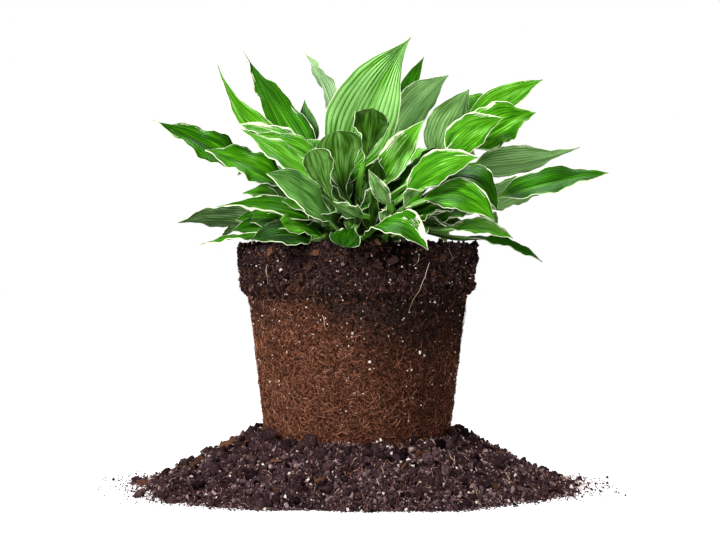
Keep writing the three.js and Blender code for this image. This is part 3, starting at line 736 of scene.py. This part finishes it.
def strung(name, paths, finish_with):
    """Many thin roots as one mesh. Each path is (points, radius, tone)."""
    points, faces, tones = [], [], []
    for path, radius, tone in paths:
        start = len(points)
        for index, at in enumerate(path):
            ahead = (path[min(index + 1, len(path) - 1)] - path[max(index - 1, 0)]).normalized()
            side = ahead.cross(Vector((0.31, 0.52, 0.79))).normalized()
            other = ahead.cross(side)
            share = index / (len(path) - 1)
            thick = radius * (1 - 0.75 * share**2)
            for corner in range(ROOT_SIDES):
                turn = TAU * corner / ROOT_SIDES
                points.append(at + side * (thick * math.cos(turn)) + other * (thick * math.sin(turn)))
                tones.append(tone)
            if index:
                row = start + index * ROOT_SIDES
                for corner in range(ROOT_SIDES):
                    nxt = (corner + 1) % ROOT_SIDES
                    below = row - ROOT_SIDES
                    faces.append((below + corner, below + nxt, row + nxt, row + corner))
        faces.append(tuple(start + corner for corner in reversed(range(ROOT_SIDES))))
        faces.append(tuple(len(points) - ROOT_SIDES + corner for corner in range(ROOT_SIDES)))
    piece = mesh_object(name, [tuple(p * MM) for p in points], faces)
    note(piece.data, "tone", tones)
    edit_all(piece)
    bpy.ops.mesh.normals_make_consistent(inside=False)
    bpy.ops.object.mode_set(mode="OBJECT")
    smooth(piece, 80)
    return finish(piece, name, [finish_with])


# ---------------------------------------------------------------- leaves
def stem_feet(leaves):
    feet = []
    for leaf in leaves:
        x, y, z = leaf["joint"]
        reach = 0.3 * math.hypot(x, y) + 0.15 * (200 - z)
        feet.append(Vector((x, y)).normalized() * min(max(reach, 4), CROWN_RADIUS - 4))
    limit = CROWN_RADIUS - SOCKET_RADIUS - 0.8
    for _ in range(SPACING_ROUNDS):
        for i, a in enumerate(feet):
            for b in feet[i + 1 :]:
                push = b - a
                short = STEM_SPACING - push.length
                if short > 0:
                    push = push.normalized() * (short / 2)
                    b += push
                    a -= push
        for foot in feet:
            if foot.length > limit:
                foot *= limit / foot.length
    return [Vector((foot.x, foot.y, crown_height(foot.x, foot.y))) for foot in feet]


def bezier(line, t):
    a, b, c, d = line
    s = 1 - t
    return a * s**3 + b * (3 * s * s * t) + c * (3 * s * t * t) + d * t**3


def bezier_heading(line, t):
    a, b, c, d = line
    s = 1 - t
    return ((b - a) * s * s + (c - b) * (2 * s * t) + (d - c) * t * t).normalized()


def leaf_line(leaf, foot):
    joint, tip = leaf["joint"], leaf["tip"]
    chord = tip - joint
    outward = Vector((tip.x - foot.x, tip.y - foot.y, 0)).normalized()
    across = outward.cross(UP)
    lift = across.cross(chord).normalized() * (leaf["bow"] * 4 / 3)
    midrib = (joint, joint + chord / 3 + lift, joint + chord * 2 / 3 + lift, tip)
    heading = (midrib[1] - joint).normalized()
    length = (joint - foot).length
    stalk = (foot, foot + UP * (0.4 * length), joint - heading * (0.35 * length), joint)
    return stalk, midrib, across


def blade_outline(name, along):
    """Share of a blade's greatest half width, at a share of the way along it."""
    swell, taper = 0.75, 1.17
    if name in SPATULATE:
        swell, taper = 1.8, 0.5
    elif name in LONG_TIPPED:
        taper = 1.8
    elif name in BROAD_BASED:
        taper = 1.5
    broadest = swell / (swell + taper)
    return (along / broadest) ** swell * ((1 - along) / (1 - broadest)) ** taper


def leaf_station(leaf, foot, lines, row, stalk_rows, blade_rows):
    """Place, side, face direction and sizes of one cross-section."""
    stalk, midrib, across = lines
    if row == 0:
        at, heading, along, roll, share = foot - UP * STEM_SINK, UP, 0.0, 0.0, 0.0
    elif row <= stalk_rows + 1:
        share = (row - 1) / stalk_rows
        at, heading, along = bezier(stalk, share), bezier_heading(stalk, share), 0.0
        roll = share * leaf["roll"]
    else:
        share, along = 1.0, (row - 1 - stalk_rows) / blade_rows
        at, heading = bezier(midrib, along), bezier_heading(midrib, along)
        roll = leaf["roll"] + along * leaf["twist"]
    level = (across - heading * across.dot(heading)).normalized()
    upward = level.cross(heading)
    turn = math.radians(roll)
    flare = min(1, along / 0.12)
    blade = leaf["width"] / 2 * blade_outline(leaf["name"], along)
    return {
        "at": at,
        "side": level * math.cos(turn) - upward * math.sin(turn),
        "normal": upward * math.cos(turn) + level * math.sin(turn),
        "half": max(TIP_HALF_WIDTH, blade, STEM_HALF_WIDTH * (1 - flare)),
        "fold": math.radians(leaf["fold"] + (38 - leaf["fold"]) * (1 - flare)),
        "curl": math.radians(leaf["fold"] * 0.9 * flare),
        "rib": max(0.7, 2.6 - 3.6 * along) if along > 0 else 3.0,
        "edge": 0.5 if along > 0 else 1.5,
        "along": along if along > 0 else share - 1,
    }


def leaf_point(leaf, station, across):
    reach, sign = abs(across), (across > 0) - (across < 0)
    fold, curl, half, along = station["fold"], station["curl"], station["half"], max(0, station["along"])
    lateral, lift = reach * math.cos(fold), reach * math.sin(fold)
    if curl > 1e-3:
        lateral = (math.sin(fold) - math.sin(fold - curl * reach)) / curl
        lift = (math.cos(fold - curl * reach) - math.cos(fold)) / curl
    side_shift = 1.9 if across < 0 else 0
    taper = min(1, 4 * along, 5 * (1 - along))
    wave = math.sin(TAU * (2.6 * along + leaf["phase"]) + side_shift)
    ripple = math.sin(TAU * (6.7 * along + 3 * leaf["phase"]) + 2 * side_shift)
    edge = leaf["wave"] * taper * (reach**2 * wave + 0.45 * reach**4 * ripple)
    depth = 0.006 * leaf["width"] * leaf["pleats"] * taper * (1 - 0.7 * reach**3)
    pleat = depth * math.cos(TAU * VEINS * across)
    raised = station["normal"] * (lift * half + edge + pleat)
    return station["at"] + station["side"] * (sign * lateral * half) + raised


def leaf_blank(columns, rows):
    """A flat strip, 2 wide and 2 long."""
    deselect()
    bpy.ops.mesh.primitive_grid_add(x_subdivisions=columns, y_subdivisions=rows, size=2)
    return bpy.context.object


def grow_leaf(blank, leaf, foot, finishes, stalk_rows, blade_rows):
    piece = blank.copy()
    piece.data = blank.data.copy()
    bpy.context.scene.collection.objects.link(piece)
    for item in finishes:
        piece.data.materials.append(item)
    lines = leaf_line(leaf, foot)
    rows = 1 + stalk_rows + blade_rows
    stations = [leaf_station(leaf, foot, lines, row, stalk_rows, blade_rows) for row in range(rows + 1)]
    cream_side = CREAM_SIDE.get(leaf["name"], 0)
    bloom = BLOOM.get(leaf["name"], 0)
    notes = []
    thick = piece.vertex_groups.new(name="thickness")
    for vertex in piece.data.vertices:
        across = vertex.co.x
        station = stations[round((vertex.co.y + 1) / 2 * rows)]
        vertex.co = leaf_point(leaf, station, across) * MM
        inner = (1 - abs(across)) ** 3
        thickness = station["edge"] + (station["rib"] - station["edge"]) * inner
        thick.add([vertex.index], thickness / THICKEST, "REPLACE")
        rim = (1 - abs(across)) * station["half"]
        broad = 1.3 * cream_side * min(1, 3 * abs(across)) * math.copysign(1, across)
        margin = leaf["margin"] * min(1, station["half"] / 5) * (1 + max(-0.4, broad))
        relief = min(1, max(0, station["half"] - 1) / 7)
        notes.append((across, station["along"], rim, leaf["tone"], margin, leaf["ribs"], relief, bloom))
    for key, values in zip(NOTES, zip(*notes)):
        note(piece.data, key, values)
    only(piece)
    shell = piece.modifiers.new("thickness", "SOLIDIFY")
    shell.thickness = THICKEST * MM
    shell.offset = 0
    shell.vertex_group = "thickness"
    shell.material_offset = 1
    bpy.ops.object.modifier_apply(modifier="thickness")
    piece.vertex_groups.clear()
    return piece


def shaded_leaf(name, joint, tip, **form):
    """A plain leaf with a faint margin and no pleats."""
    return {"name": name, "joint": Vector(joint), "tip": Vector(tip), "margin": 0.3, "pleats": 0, **form}


def inner_leaves():
    """Short leaves and young shoots inside the clump, one ring lying low and one standing."""
    made = []
    for index in range(LOW_OR_STANDING_LEAVES):
        low = index % 2 == 0
        bearing = math.radians(index * GOLDEN_ANGLE + 24)
        start = 33 + 8 * chance(index, 51) if low else 20 + 16 * chance(index, 52)
        reach = start + (30 + 12 * chance(index, 53) if low else 14 + 12 * chance(index, 54))
        front = max(0, -math.sin(bearing))
        base = 168 + 5 * chance(index, 55) if low else 182 + (16 - 12 * front) * chance(index, 56)
        rise = 1 + 7 * chance(index, 57) if low else 18 + 14 * chance(index, 58)
        aside = math.radians(14 * (chance(index, 59) - 0.5))
        made.append(
            shaded_leaf(
                f"inner_{index + 1}",
                polar(start, bearing, base),
                polar(reach, bearing + aside, base + rise),
                width=20 + 9 * chance(index, 60),
                bow=5 if low else 3,
                roll=40 * (chance(index, 61) - 0.5),
                fold=22,
                twist=30 * (chance(index, 62) - 0.5),
                wave=1.2,
                tone=0.25 + 0.4 * chance(index, 63),
                ribs=0.4,
                phase=chance(index, 64),
            )
        )
    for index, (joint, tip, width, roll) in enumerate(SHADE_LEAVES):
        form = {"width": width, "bow": 4, "roll": roll, "fold": 20, "wave": 1.6, "ribs": 0.7}
        form["twist"] = 20 * (chance(index, 71) - 0.5)
        form["tone"] = 0.3 + 0.35 * chance(index, 72)
        made.append(shaded_leaf(f"shade_{index + 1}", joint, tip, phase=chance(index, 73), **form))
    return made


def inner_foot(leaf):
    """Between the other stalks, further in than the leaf's own joint."""
    bearing = math.atan2(leaf["joint"].y, leaf["joint"].x)
    radius = 0.6 * leaf["joint"].xy.length
    x, y = radius * math.cos(bearing), radius * math.sin(bearing)
    return Vector((x, y, crown_height(x, y)))


def leaves():
    keys = ("name", "joint", "tip", "width", "bow", "roll", "fold", "twist", "wave", "tone", "margin")
    grown = [dict(zip(keys, row)) for row in LEAVES]
    for index, leaf in enumerate(grown):
        leaf["joint"], leaf["tip"] = Vector(leaf["joint"]), Vector(leaf["tip"])
        leaf["phase"] = chance(index, 8)
        faint = leaf["name"] in SPATULATE or leaf["name"].startswith("rear")
        leaf["ribs"] = leaf["pleats"] = 1.0 if leaf["name"] in STRONGLY_RIBBED else 0.25 if faint else 0.55
    finishes = [leaf_finish("leaf_upper_face", True), leaf_finish("leaf_underside", False)]
    fine = leaf_blank(LEAF_COLUMNS, 1 + STALK_ROWS + BLADE_ROWS)
    plain = leaf_blank(REAR_COLUMNS, 1 + STALK_ROWS + REAR_BLADE_ROWS)
    for index, (leaf, foot) in enumerate(zip(grown, stem_feet(grown))):
        rear = leaf["name"].startswith("rear")
        blank, rows = (plain, REAR_BLADE_ROWS) if rear else (fine, BLADE_ROWS)
        piece = grow_leaf(blank, leaf, foot, finishes, STALK_ROWS, rows)
        smooth(piece, 50)
        finish(piece, f"hosta_{leaf['name']}", finishes, [f"leaf_{leaf['name']}"])
    bpy.data.objects.remove(fine)
    bpy.data.objects.remove(plain)

    blank = leaf_blank(INNER_COLUMNS, 1 + INNER_STALK_ROWS + INNER_BLADE_ROWS)
    pieces = [
        grow_leaf(blank, leaf, inner_foot(leaf), finishes, INNER_STALK_ROWS, INNER_BLADE_ROWS)
        for leaf in inner_leaves()
    ]
    bpy.data.objects.remove(blank)
    for start, name in ((0, "hosta_inner_low"), (1, "hosta_inner_standing")):
        group = pieces[start::2]
        deselect()
        for piece in group:
            piece.select_set(True)
        bpy.context.view_layer.objects.active = group[0]
        bpy.ops.object.join()
        smooth(group[0], 50)
        finish(group[0], name, finishes)


# ---------------------------------------------------------------- root ball
def root_ball(finishes):
    """Turned to its pot's outline, then roughened."""
    heights = [UNDERSIDE] + list(np.linspace(26, 128, 62)) + list(np.linspace(129, 160, 32))
    outline = [(z, r) for r, z in ROOT_BALL_OUTLINE]
    wall = [(interpolate(outline, z), z) for z in heights]
    rings = (78, 76, 74, 71.5, *range(69, 33, -3), 20)
    top = [(r, ROOT_BALL_TOP) for r in rings]
    piece = spun([(0, UNDERSIDE), *wall, *top, (0, ROOT_BALL_TOP)], ROOT_BALL_STEPS)
    for vertex in piece.data.vertices:
        x, y, z = vertex.co / MM
        radius, angle = math.hypot(x, y), math.atan2(y, x) % TAU
        if z > 161.5:
            inner = min(1, (80 - radius) / 5)
            radius += (root_ball_radius(angle, 161) - 79) * (1 - inner)
            height = top_soil_height(x, y) * inner + (1 - inner) * (161.6 + 0.5 * grit(x, y, z, 3))
            if radius < CROWN_RADIUS + 0.3:
                height = 149
            vertex.co = polar(radius, angle, height) * MM
        elif z > 9 and radius > 50:
            vertex.co = polar(root_ball_radius(angle, z), angle, z) * MM
    smooth(piece, 70)
    return finish(piece, "root_ball_mat", [finishes["mat"]], ["root_ball"])


def crawl(rng, angle, height, heading, steps, pace, lift):
    """A root's way over the root ball's side, never leaving it far."""
    path = []
    rise = rng.uniform(0.05, lift)
    for index in range(steps):
        height = min(max(height, 40), 161)
        radius = root_ball_radius(angle % TAU, height)
        path.append(polar(radius + rise * math.sin(math.pi * (index + 0.3) / steps), angle, height))
        heading += rng.gauss(0, 0.38)
        angle += pace * math.cos(heading) / radius
        height += pace * math.sin(heading)
    return path


def matted_roots(finishes):
    rng = random.Random(5)
    body, rim = [], []
    for _ in range(BODY_ROOTS):
        height = 38 + 92 * rng.random() ** 0.95
        angle = around(rng)
        patch = grit(60 * math.cos(angle), 60 * math.sin(angle), height, 24)
        # Root tones: darker towards the rim, varied in patches at random, and darker on the right side as
        # painted shade, as if lit from the left.
        right = min(1, max(0, (math.cos(angle) + 0.5) / 0.9))
        tone_and_shade = 0.60 - 0.40 * max(0, (height - 96 + 22 * right) / 40) - 0.10 * right + 0.26 * patch
        tone = min(0.71, max(0.0, tone_and_shade + rng.gauss(0, 0.22)))
        path = crawl(rng, angle, height, around(rng), 5, rng.uniform(1.0, 2.1), 1.2)
        body.append((path, rng.uniform(0.07, 0.17), tone))
    for _ in range(RIM_ROOTS):
        height, angle = 125 + 36 * rng.random() ** 1.3, around(rng)
        path = crawl(rng, angle, height, around(rng), 4, rng.uniform(0.7, 1.5), 0.9)
        rim.append((path, rng.uniform(0.06, 0.13), min(0.74, max(0.1, rng.gauss(0.45, 0.18)))))
    strung("matted_roots_body", body, finishes["strand"])
    strung("matted_roots_rim", rim, finishes["strand"])


LONG_ROOTS = [
    # bearing, top, fall and how far it leans round
    (225, 149.5, 12.5, -0.5), (304, 151, 32, -8), (318, 160, 9, -1.5), (300, 156, 8, -4), (252, 118, 10, 3),
    (70, 150, 24, 5), (120, 146, 20, -4), (178, 150, 26, 3), (20, 148, 22, -3),
]  # fmt: skip


def loose_roots(finishes):
    """Roots that stand off the sides and rim, and a few long pale ones."""
    rng = random.Random(11)
    paths = []
    for _ in range(STANDING_ROOTS):
        height = rng.choice((rng.uniform(40, 130), rng.uniform(128, 161)))
        angle = around(rng)
        at = side_point(angle, height)
        out = polar(1, angle, 0)
        along = (UP * rng.uniform(-1, 1) + out.cross(UP) * rng.uniform(-1, 1)).normalized()
        path, ahead = [at - out * 0.4], (out * rng.uniform(0.15, 0.8) + along).normalized()
        for _ in range(rng.randint(2, 4)):
            path.append(path[-1] + ahead * rng.uniform(0.6, 1.2))
            stray = Vector([rng.gauss(0, 0.22) for _ in range(3)])
            ahead = (ahead + along * 0.4 - UP * 0.12 + stray).normalized()
        dark = height > 126
        tone = rng.uniform(0.05, 0.45) if dark else rng.uniform(0.2, 0.65)
        paths.append((path, rng.uniform(0.07, 0.14), tone))
    for bearing, top, fall, lean in LONG_ROOTS:
        path = []
        for index in range(12):
            share = index / 11
            height = top - fall * share
            angle = math.radians(bearing + lean * share + 0.5 * math.sin(5 * share + bearing))
            radius = root_ball_radius(angle, height) + 0.5 + 1.4 * math.sin(math.pi * share)
            path.append(polar(radius, angle, height))
        paths.append((path, 0.15 if fall > 15 else 0.1, 1.0))
    strung("loose_roots", paths, finishes["strand"])


def rim_crumbs(finishes, grains, crumbs):
    rng = random.Random(21)
    places, small = [], []
    for _ in range(RIM_CRUMBS):
        angle = around(rng)
        height = 126 + 35.5 * rng.random() ** 0.85
        size = 0.35 + 1.2 * rng.random() ** 3
        at = side_point(angle, height, -0.15 * size)
        # Crumbs in the rim hollow get darker tones: painted shade of the hollow.
        tone = rng.gauss(0.2, 0.17) - 0.25 * min(1, rim_hollow(angle, height))
        (places if size > 0.85 else small).append((at, size, tone))
    for _ in range(TOP_CRUMBS):
        angle, radius = around(rng), 79 * math.sqrt(rng.uniform(0.02, 1))
        x, y = radius * math.cos(angle), radius * math.sin(angle)
        size = 0.5 + 1.7 * rng.random() ** 3
        height = crown_height(x, y) if radius < CROWN_RADIUS else top_soil_height(x, y)
        places.append((Vector((x, y, min(height, 168) + 0.2 * size)), size, rng.gauss(0.2, 0.14)))
    for _ in range(BODY_CRUMBS):
        angle, height = around(rng), rng.uniform(42, 128)
        size = 0.3 + 0.5 * rng.random() ** 2
        at = side_point(angle, height, -0.1 * size)
        small.append((at, size, rng.gauss(0.15, 0.12)))
    strewn("root_ball_crumbs", crumbs, places, finishes["soil"], 3)
    strewn("root_ball_grains", grains, small, finishes["soil"], 5)


def perlite(finishes, crumbs):
    rng = random.Random(31)
    places = []
    for _ in range(SIDE_PERLITE):
        angle, height = around(rng), 44 + 116 * rng.random() ** 0.7
        size = 0.18 + 0.4 * rng.random() ** 2 + 0.5 * rng.random() ** 14
        places.append((side_point(angle, height, 0.3 * size), size, 1))
    for _ in range(TOP_PERLITE):
        angle, radius = around(rng), 78 * math.sqrt(rng.uniform(0.3, 1))
        x, y = radius * math.cos(angle), radius * math.sin(angle)
        size = 0.5 + 0.9 * rng.random() ** 2
        places.append((Vector((x, y, top_soil_height(x, y) + 0.5 * size)), size, 1))
    strewn("root_ball_perlite", crumbs, places, finishes["perlite"], 4)
    places = []
    for _ in range(MOUND_PERLITE):
        angle, share = around(rng), rng.uniform(0.04, 1.02)
        size = 0.35 + 1.0 * rng.random() ** 3
        places.append((mound_point(share, angle, 0.9 * size), size, 1))
    strewn("mound_perlite", crumbs, places, finishes["perlite"], 6)


# ---------------------------------------------------------------- mound
def mound(finishes):
    shares = np.linspace(0, 1, 60)
    seat = [(0, 8.1), (59.2, 8.1), (60.8, 24), (62.2, 36.4)]
    slope = [(64 + 60 * share, 20) for share in shares]
    piece = spun([*seat, *slope, (125, 0), (0, 0)], MOUND_STEPS)
    for vertex in piece.data.vertices:
        x, y, z = vertex.co / MM
        radius, angle = math.hypot(x, y), math.atan2(y, x) % TAU
        if z > 15 and radius > 63:
            share = (radius - 64) / 60
            outer = 62.5 + share * (heap_reach(angle) - 62.5)
            inner = (outer - MOUND_INNER_RADIUS) / (mound_reach(angle) - MOUND_INNER_RADIUS)
            vertex.co = polar(outer, angle, mound_height(min(1, inner), angle)) * MM
        elif z < 1 and radius > 100:
            vertex.co = polar(heap_reach(angle), angle, 0) * MM
    note(piece.data, "tone", np.full(len(piece.data.vertices), 0.3))
    smooth(piece, 60)
    return finish(piece, "mound_heap", [finishes["soil"]], ["soil_mound"])


def mound_crumbs(finishes, grains, crumbs, clods):
    rng = random.Random(41)

    def scatter(count, smallest, growth, power):
        places = []
        while len(places) < count:
            angle, share = around(rng), rng.uniform(0.002, 1.1) ** 0.55
            beyond = share - heap_edge(angle)
            thinned = math.sin(angle) > 0.3 and rng.random() < 0.35
            if thinned or rng.random() > math.exp(-max(0, beyond) / 0.05):
                continue
            size = (smallest + growth * rng.random() ** power) * (0.75 if beyond > -0.1 else 1)
            places.append((mound_point(share, angle, 0.35 * size), size, rng.gauss(0.45, 0.26)))
        return places

    strewn("mound_crumbs", crumbs, scatter(MOUND_CRUMBS, 0.7, 1.5, 3), finishes["soil"], 7)
    strewn("mound_grains", grains, scatter(MOUND_GRAINS, 0.37, 0.55, 1.5), finishes["soil"], 8)
    places = []
    for index in range(CLOD_COUNT):
        angle = chance(index, 1) * TAU
        share = 0.08 + 0.8 * chance(index, 2) ** 0.8
        size = (2.2 + 3.6 * chance(index, 3)) * (1 - 0.35 * share)
        places.append((mound_point(share, angle, 0.25 * size), size, 0.3))
    for _ in range(EXTRA_CLODS):
        angle, share = around(rng), rng.uniform(0.03, 0.95)
        size = 1.7 + 3.0 * rng.random() ** 2
        at = mound_point(share, angle, 0.3 * size)
        places.append((at, size * (1 - 0.3 * share), rng.gauss(0.29, 0.13)))
    strewn("mound_clods", clods, places, finishes["soil"], 9, 60)
    places = []
    while len(places) < SCATTERED_GRAINS:
        angle = around(rng)
        spread = 0.035 + 0.085 * abs(math.cos(angle)) ** 5
        at = polar(heap_reach(angle) * (0.99 + abs(rng.gauss(0, spread))), angle, 0)
        size = 0.25 + 0.45 * rng.random() ** 2 + 0.9 * rng.random() ** 12
        if abs(at.x) < 176 and -118 < at.y < 138:
            places.append((Vector((at.x, at.y, 0.45 * size)), size, rng.gauss(0.42, 0.2)))
    strewn("scattered_grains", grains, places, finishes["soil"], 10)


def mound_fibres(finishes):
    rng = random.Random(51)
    paths = []
    for _ in range(MOUND_FIBRES):
        angle, share = around(rng), rng.uniform(0.0, 0.92)
        at = mound_point(share, angle, 0.9)
        heading = around(rng)
        path = []
        for _ in range(rng.randint(3, 5)):
            radius, bearing = math.hypot(at.x, at.y), math.atan2(at.y, at.x) % TAU
            inner = (radius - MOUND_INNER_RADIUS) / (mound_reach(bearing) - MOUND_INNER_RADIUS)
            ground = mound_height(min(1, max(0, inner)), bearing) + 0.8
            path.append(Vector((at.x, at.y, ground + rng.uniform(0, 0.9))))
            heading += rng.gauss(0, 0.4)
            at = at + Vector((math.cos(heading), math.sin(heading), 0)) * 1.2
        paths.append((path, rng.uniform(0.08, 0.2), rng.uniform(0.35, 0.95)))
    strung("mound_fibres", paths, finishes["strand"])


def bark_chips(finishes):
    deselect()
    bpy.ops.mesh.primitive_cube_add(size=2)
    block = bpy.context.object
    edit_all(block)
    bpy.ops.mesh.subdivide(number_cuts=1)
    bpy.ops.transform.vertex_random(offset=0.5, uniform=0.6, normal=0.2, seed=8)
    bpy.ops.transform.resize(value=(1.0, 0.55, 0.2))
    bpy.ops.mesh.quads_convert_to_tris()
    bpy.ops.object.mode_set(mode="OBJECT")
    shape = taken(block)
    rng = random.Random(61)
    places = []
    # The chips in the front hollow (bearings 279 to 293) get low tones: painted shade of the hollow.
    for bearing, height, size, tone in (
        (226, 158, 3.6, 0.55), (250, 157.5, 3.0, 0.5), (279, 150, 2.8, 0.08), (286, 152, 2.8, 0.05),
        (293, 146, 2.4, 0.1), (298, 153, 2.0, 0.15), (312, 154, 2.2, 0.3), (215, 155, 1.8, 0.3),
    ):  # fmt: skip
        angle = math.radians(bearing)
        places.append((side_point(angle, height, 0.2), size, tone))
    for _ in range(RIM_BARK):
        angle, height = around(rng), rng.uniform(132, 158)
        at = side_point(angle, height, 0.1)
        places.append((at, rng.uniform(1.0, 2.2), rng.uniform(0.05, 0.4)))
    strewn("rim_bark", [shape], places, finishes["bark"], 12, 30, laid=True)
    places = []
    for _ in range(TOP_BARK):
        angle, radius = around(rng), rng.uniform(46, 77)
        x, y = radius * math.cos(angle), radius * math.sin(angle)
        at = Vector((x, y, top_soil_height(x, y) + 0.3))
        places.append((at, rng.uniform(1.6, 3.8), rng.uniform(0.1, 0.7)))
    strewn("top_bark", [shape], places, finishes["bark"], 14, 30)
    places = []
    for _ in range(MOUND_BARK):
        angle, share = around(rng), rng.uniform(0.02, 0.88)
        places.append((mound_point(share, angle, 0.8), rng.uniform(1.2, 3.6), rng.uniform(0.05, 0.75)))
    strewn("mound_bark", [shape], places, finishes["bark"], 13, 30)


# ---------------------------------------------------------------- setting
def floor():
    deselect()
    bpy.ops.mesh.primitive_plane_add(size=8)
    ground = bpy.context.object
    ground.name = "floor"
    made, tree, shader = material("pale_floor", Roughness=1.0, Specular_IOR_Level=0.0)
    clouds = noisy(tree, place(tree), 3.0, 1.0)
    paint(shader, mixed(tree, clouds, (0.29, 0.29, 0.29), (0.31, 0.31, 0.31)))
    shader.inputs["Emission Color"].default_value = (1, 1, 1, 1)
    shader.inputs["Emission Strength"].default_value = 0.85
    ground.data.materials.append(made)


def lamp(name, at, target, size, power):
    light = bpy.data.lights.new(name, "AREA")
    light.shape = "DISK"
    light.size = size
    light.energy = power
    holder = bpy.data.objects.new(name, light)
    holder.location = at
    holder.rotation_euler = (Vector(target) - Vector(at)).to_track_quat("-Z", "Y").to_euler()
    bpy.context.scene.collection.objects.link(holder)


AMBIENT = 0.5


def studio():
    scene = bpy.context.scene
    world = bpy.data.worlds.new("studio")
    world.use_nodes = True
    seen = add(world.node_tree, "ShaderNodeLightPath").outputs["Is Camera Ray"]
    strength = calc("MAXIMUM", seen, AMBIENT)
    world.node_tree.nodes["Background"].inputs["Color"].default_value = (1, 1, 1, 1)
    world.node_tree.links.new(strength, world.node_tree.nodes["Background"].inputs["Strength"])
    scene.world = world
    lamp("key", (-0.95, -0.95, 0.95), (0, 0, 0.17), 0.45, 52)
    lamp("fill", (0.9, -1.0, 0.55), (0, 0, 0.17), 0.7, 10)
    lamp("top", (0.15, 0.55, 1.15), (0, 0, 0.2), 0.5, 22)
    scene.view_settings.view_transform = "Standard"
    scene.view_settings.look = "None"

    camera = bpy.data.cameras.new("camera")
    camera.lens = 80
    camera.sensor_width = 36
    holder = bpy.data.objects.new("camera", camera)
    holder.location = (0.0017, -1.072, 0.162)
    holder.rotation_euler = (math.radians(88.98), 0, 0)
    scene.collection.objects.link(holder)
    scene.camera = holder


# ---------------------------------------------------------------- the plant
finishes = {
    "mat": root_mat_finish(),
    "strand": strand_finish(),
    "soil": soil_finish(),
    "perlite": perlite_finish(),
    "bark": bark_finish(),
}
crumbs = [lump_shape(seed, 1, 0.45) for seed in (1, 2, 3, 4, 5)]
clods = [lump_shape(seed, 2, 0.22) for seed in (6, 7, 8)]
grains = [grain_shape(seed) for seed in (1, 2, 3, 4)]

floor()
studio()
leaves()
root_ball(finishes)
matted_roots(finishes)
loose_roots(finishes)
rim_crumbs(finishes, grains, crumbs)
perlite(finishes, crumbs)
mound(finishes)
mound_crumbs(finishes, grains, crumbs, clods)
mound_fibres(finishes)
bark_chips(finishes)

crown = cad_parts["crown"]
for holder in crown.material_slots:
    holder.material = crown_finish()

deselect()
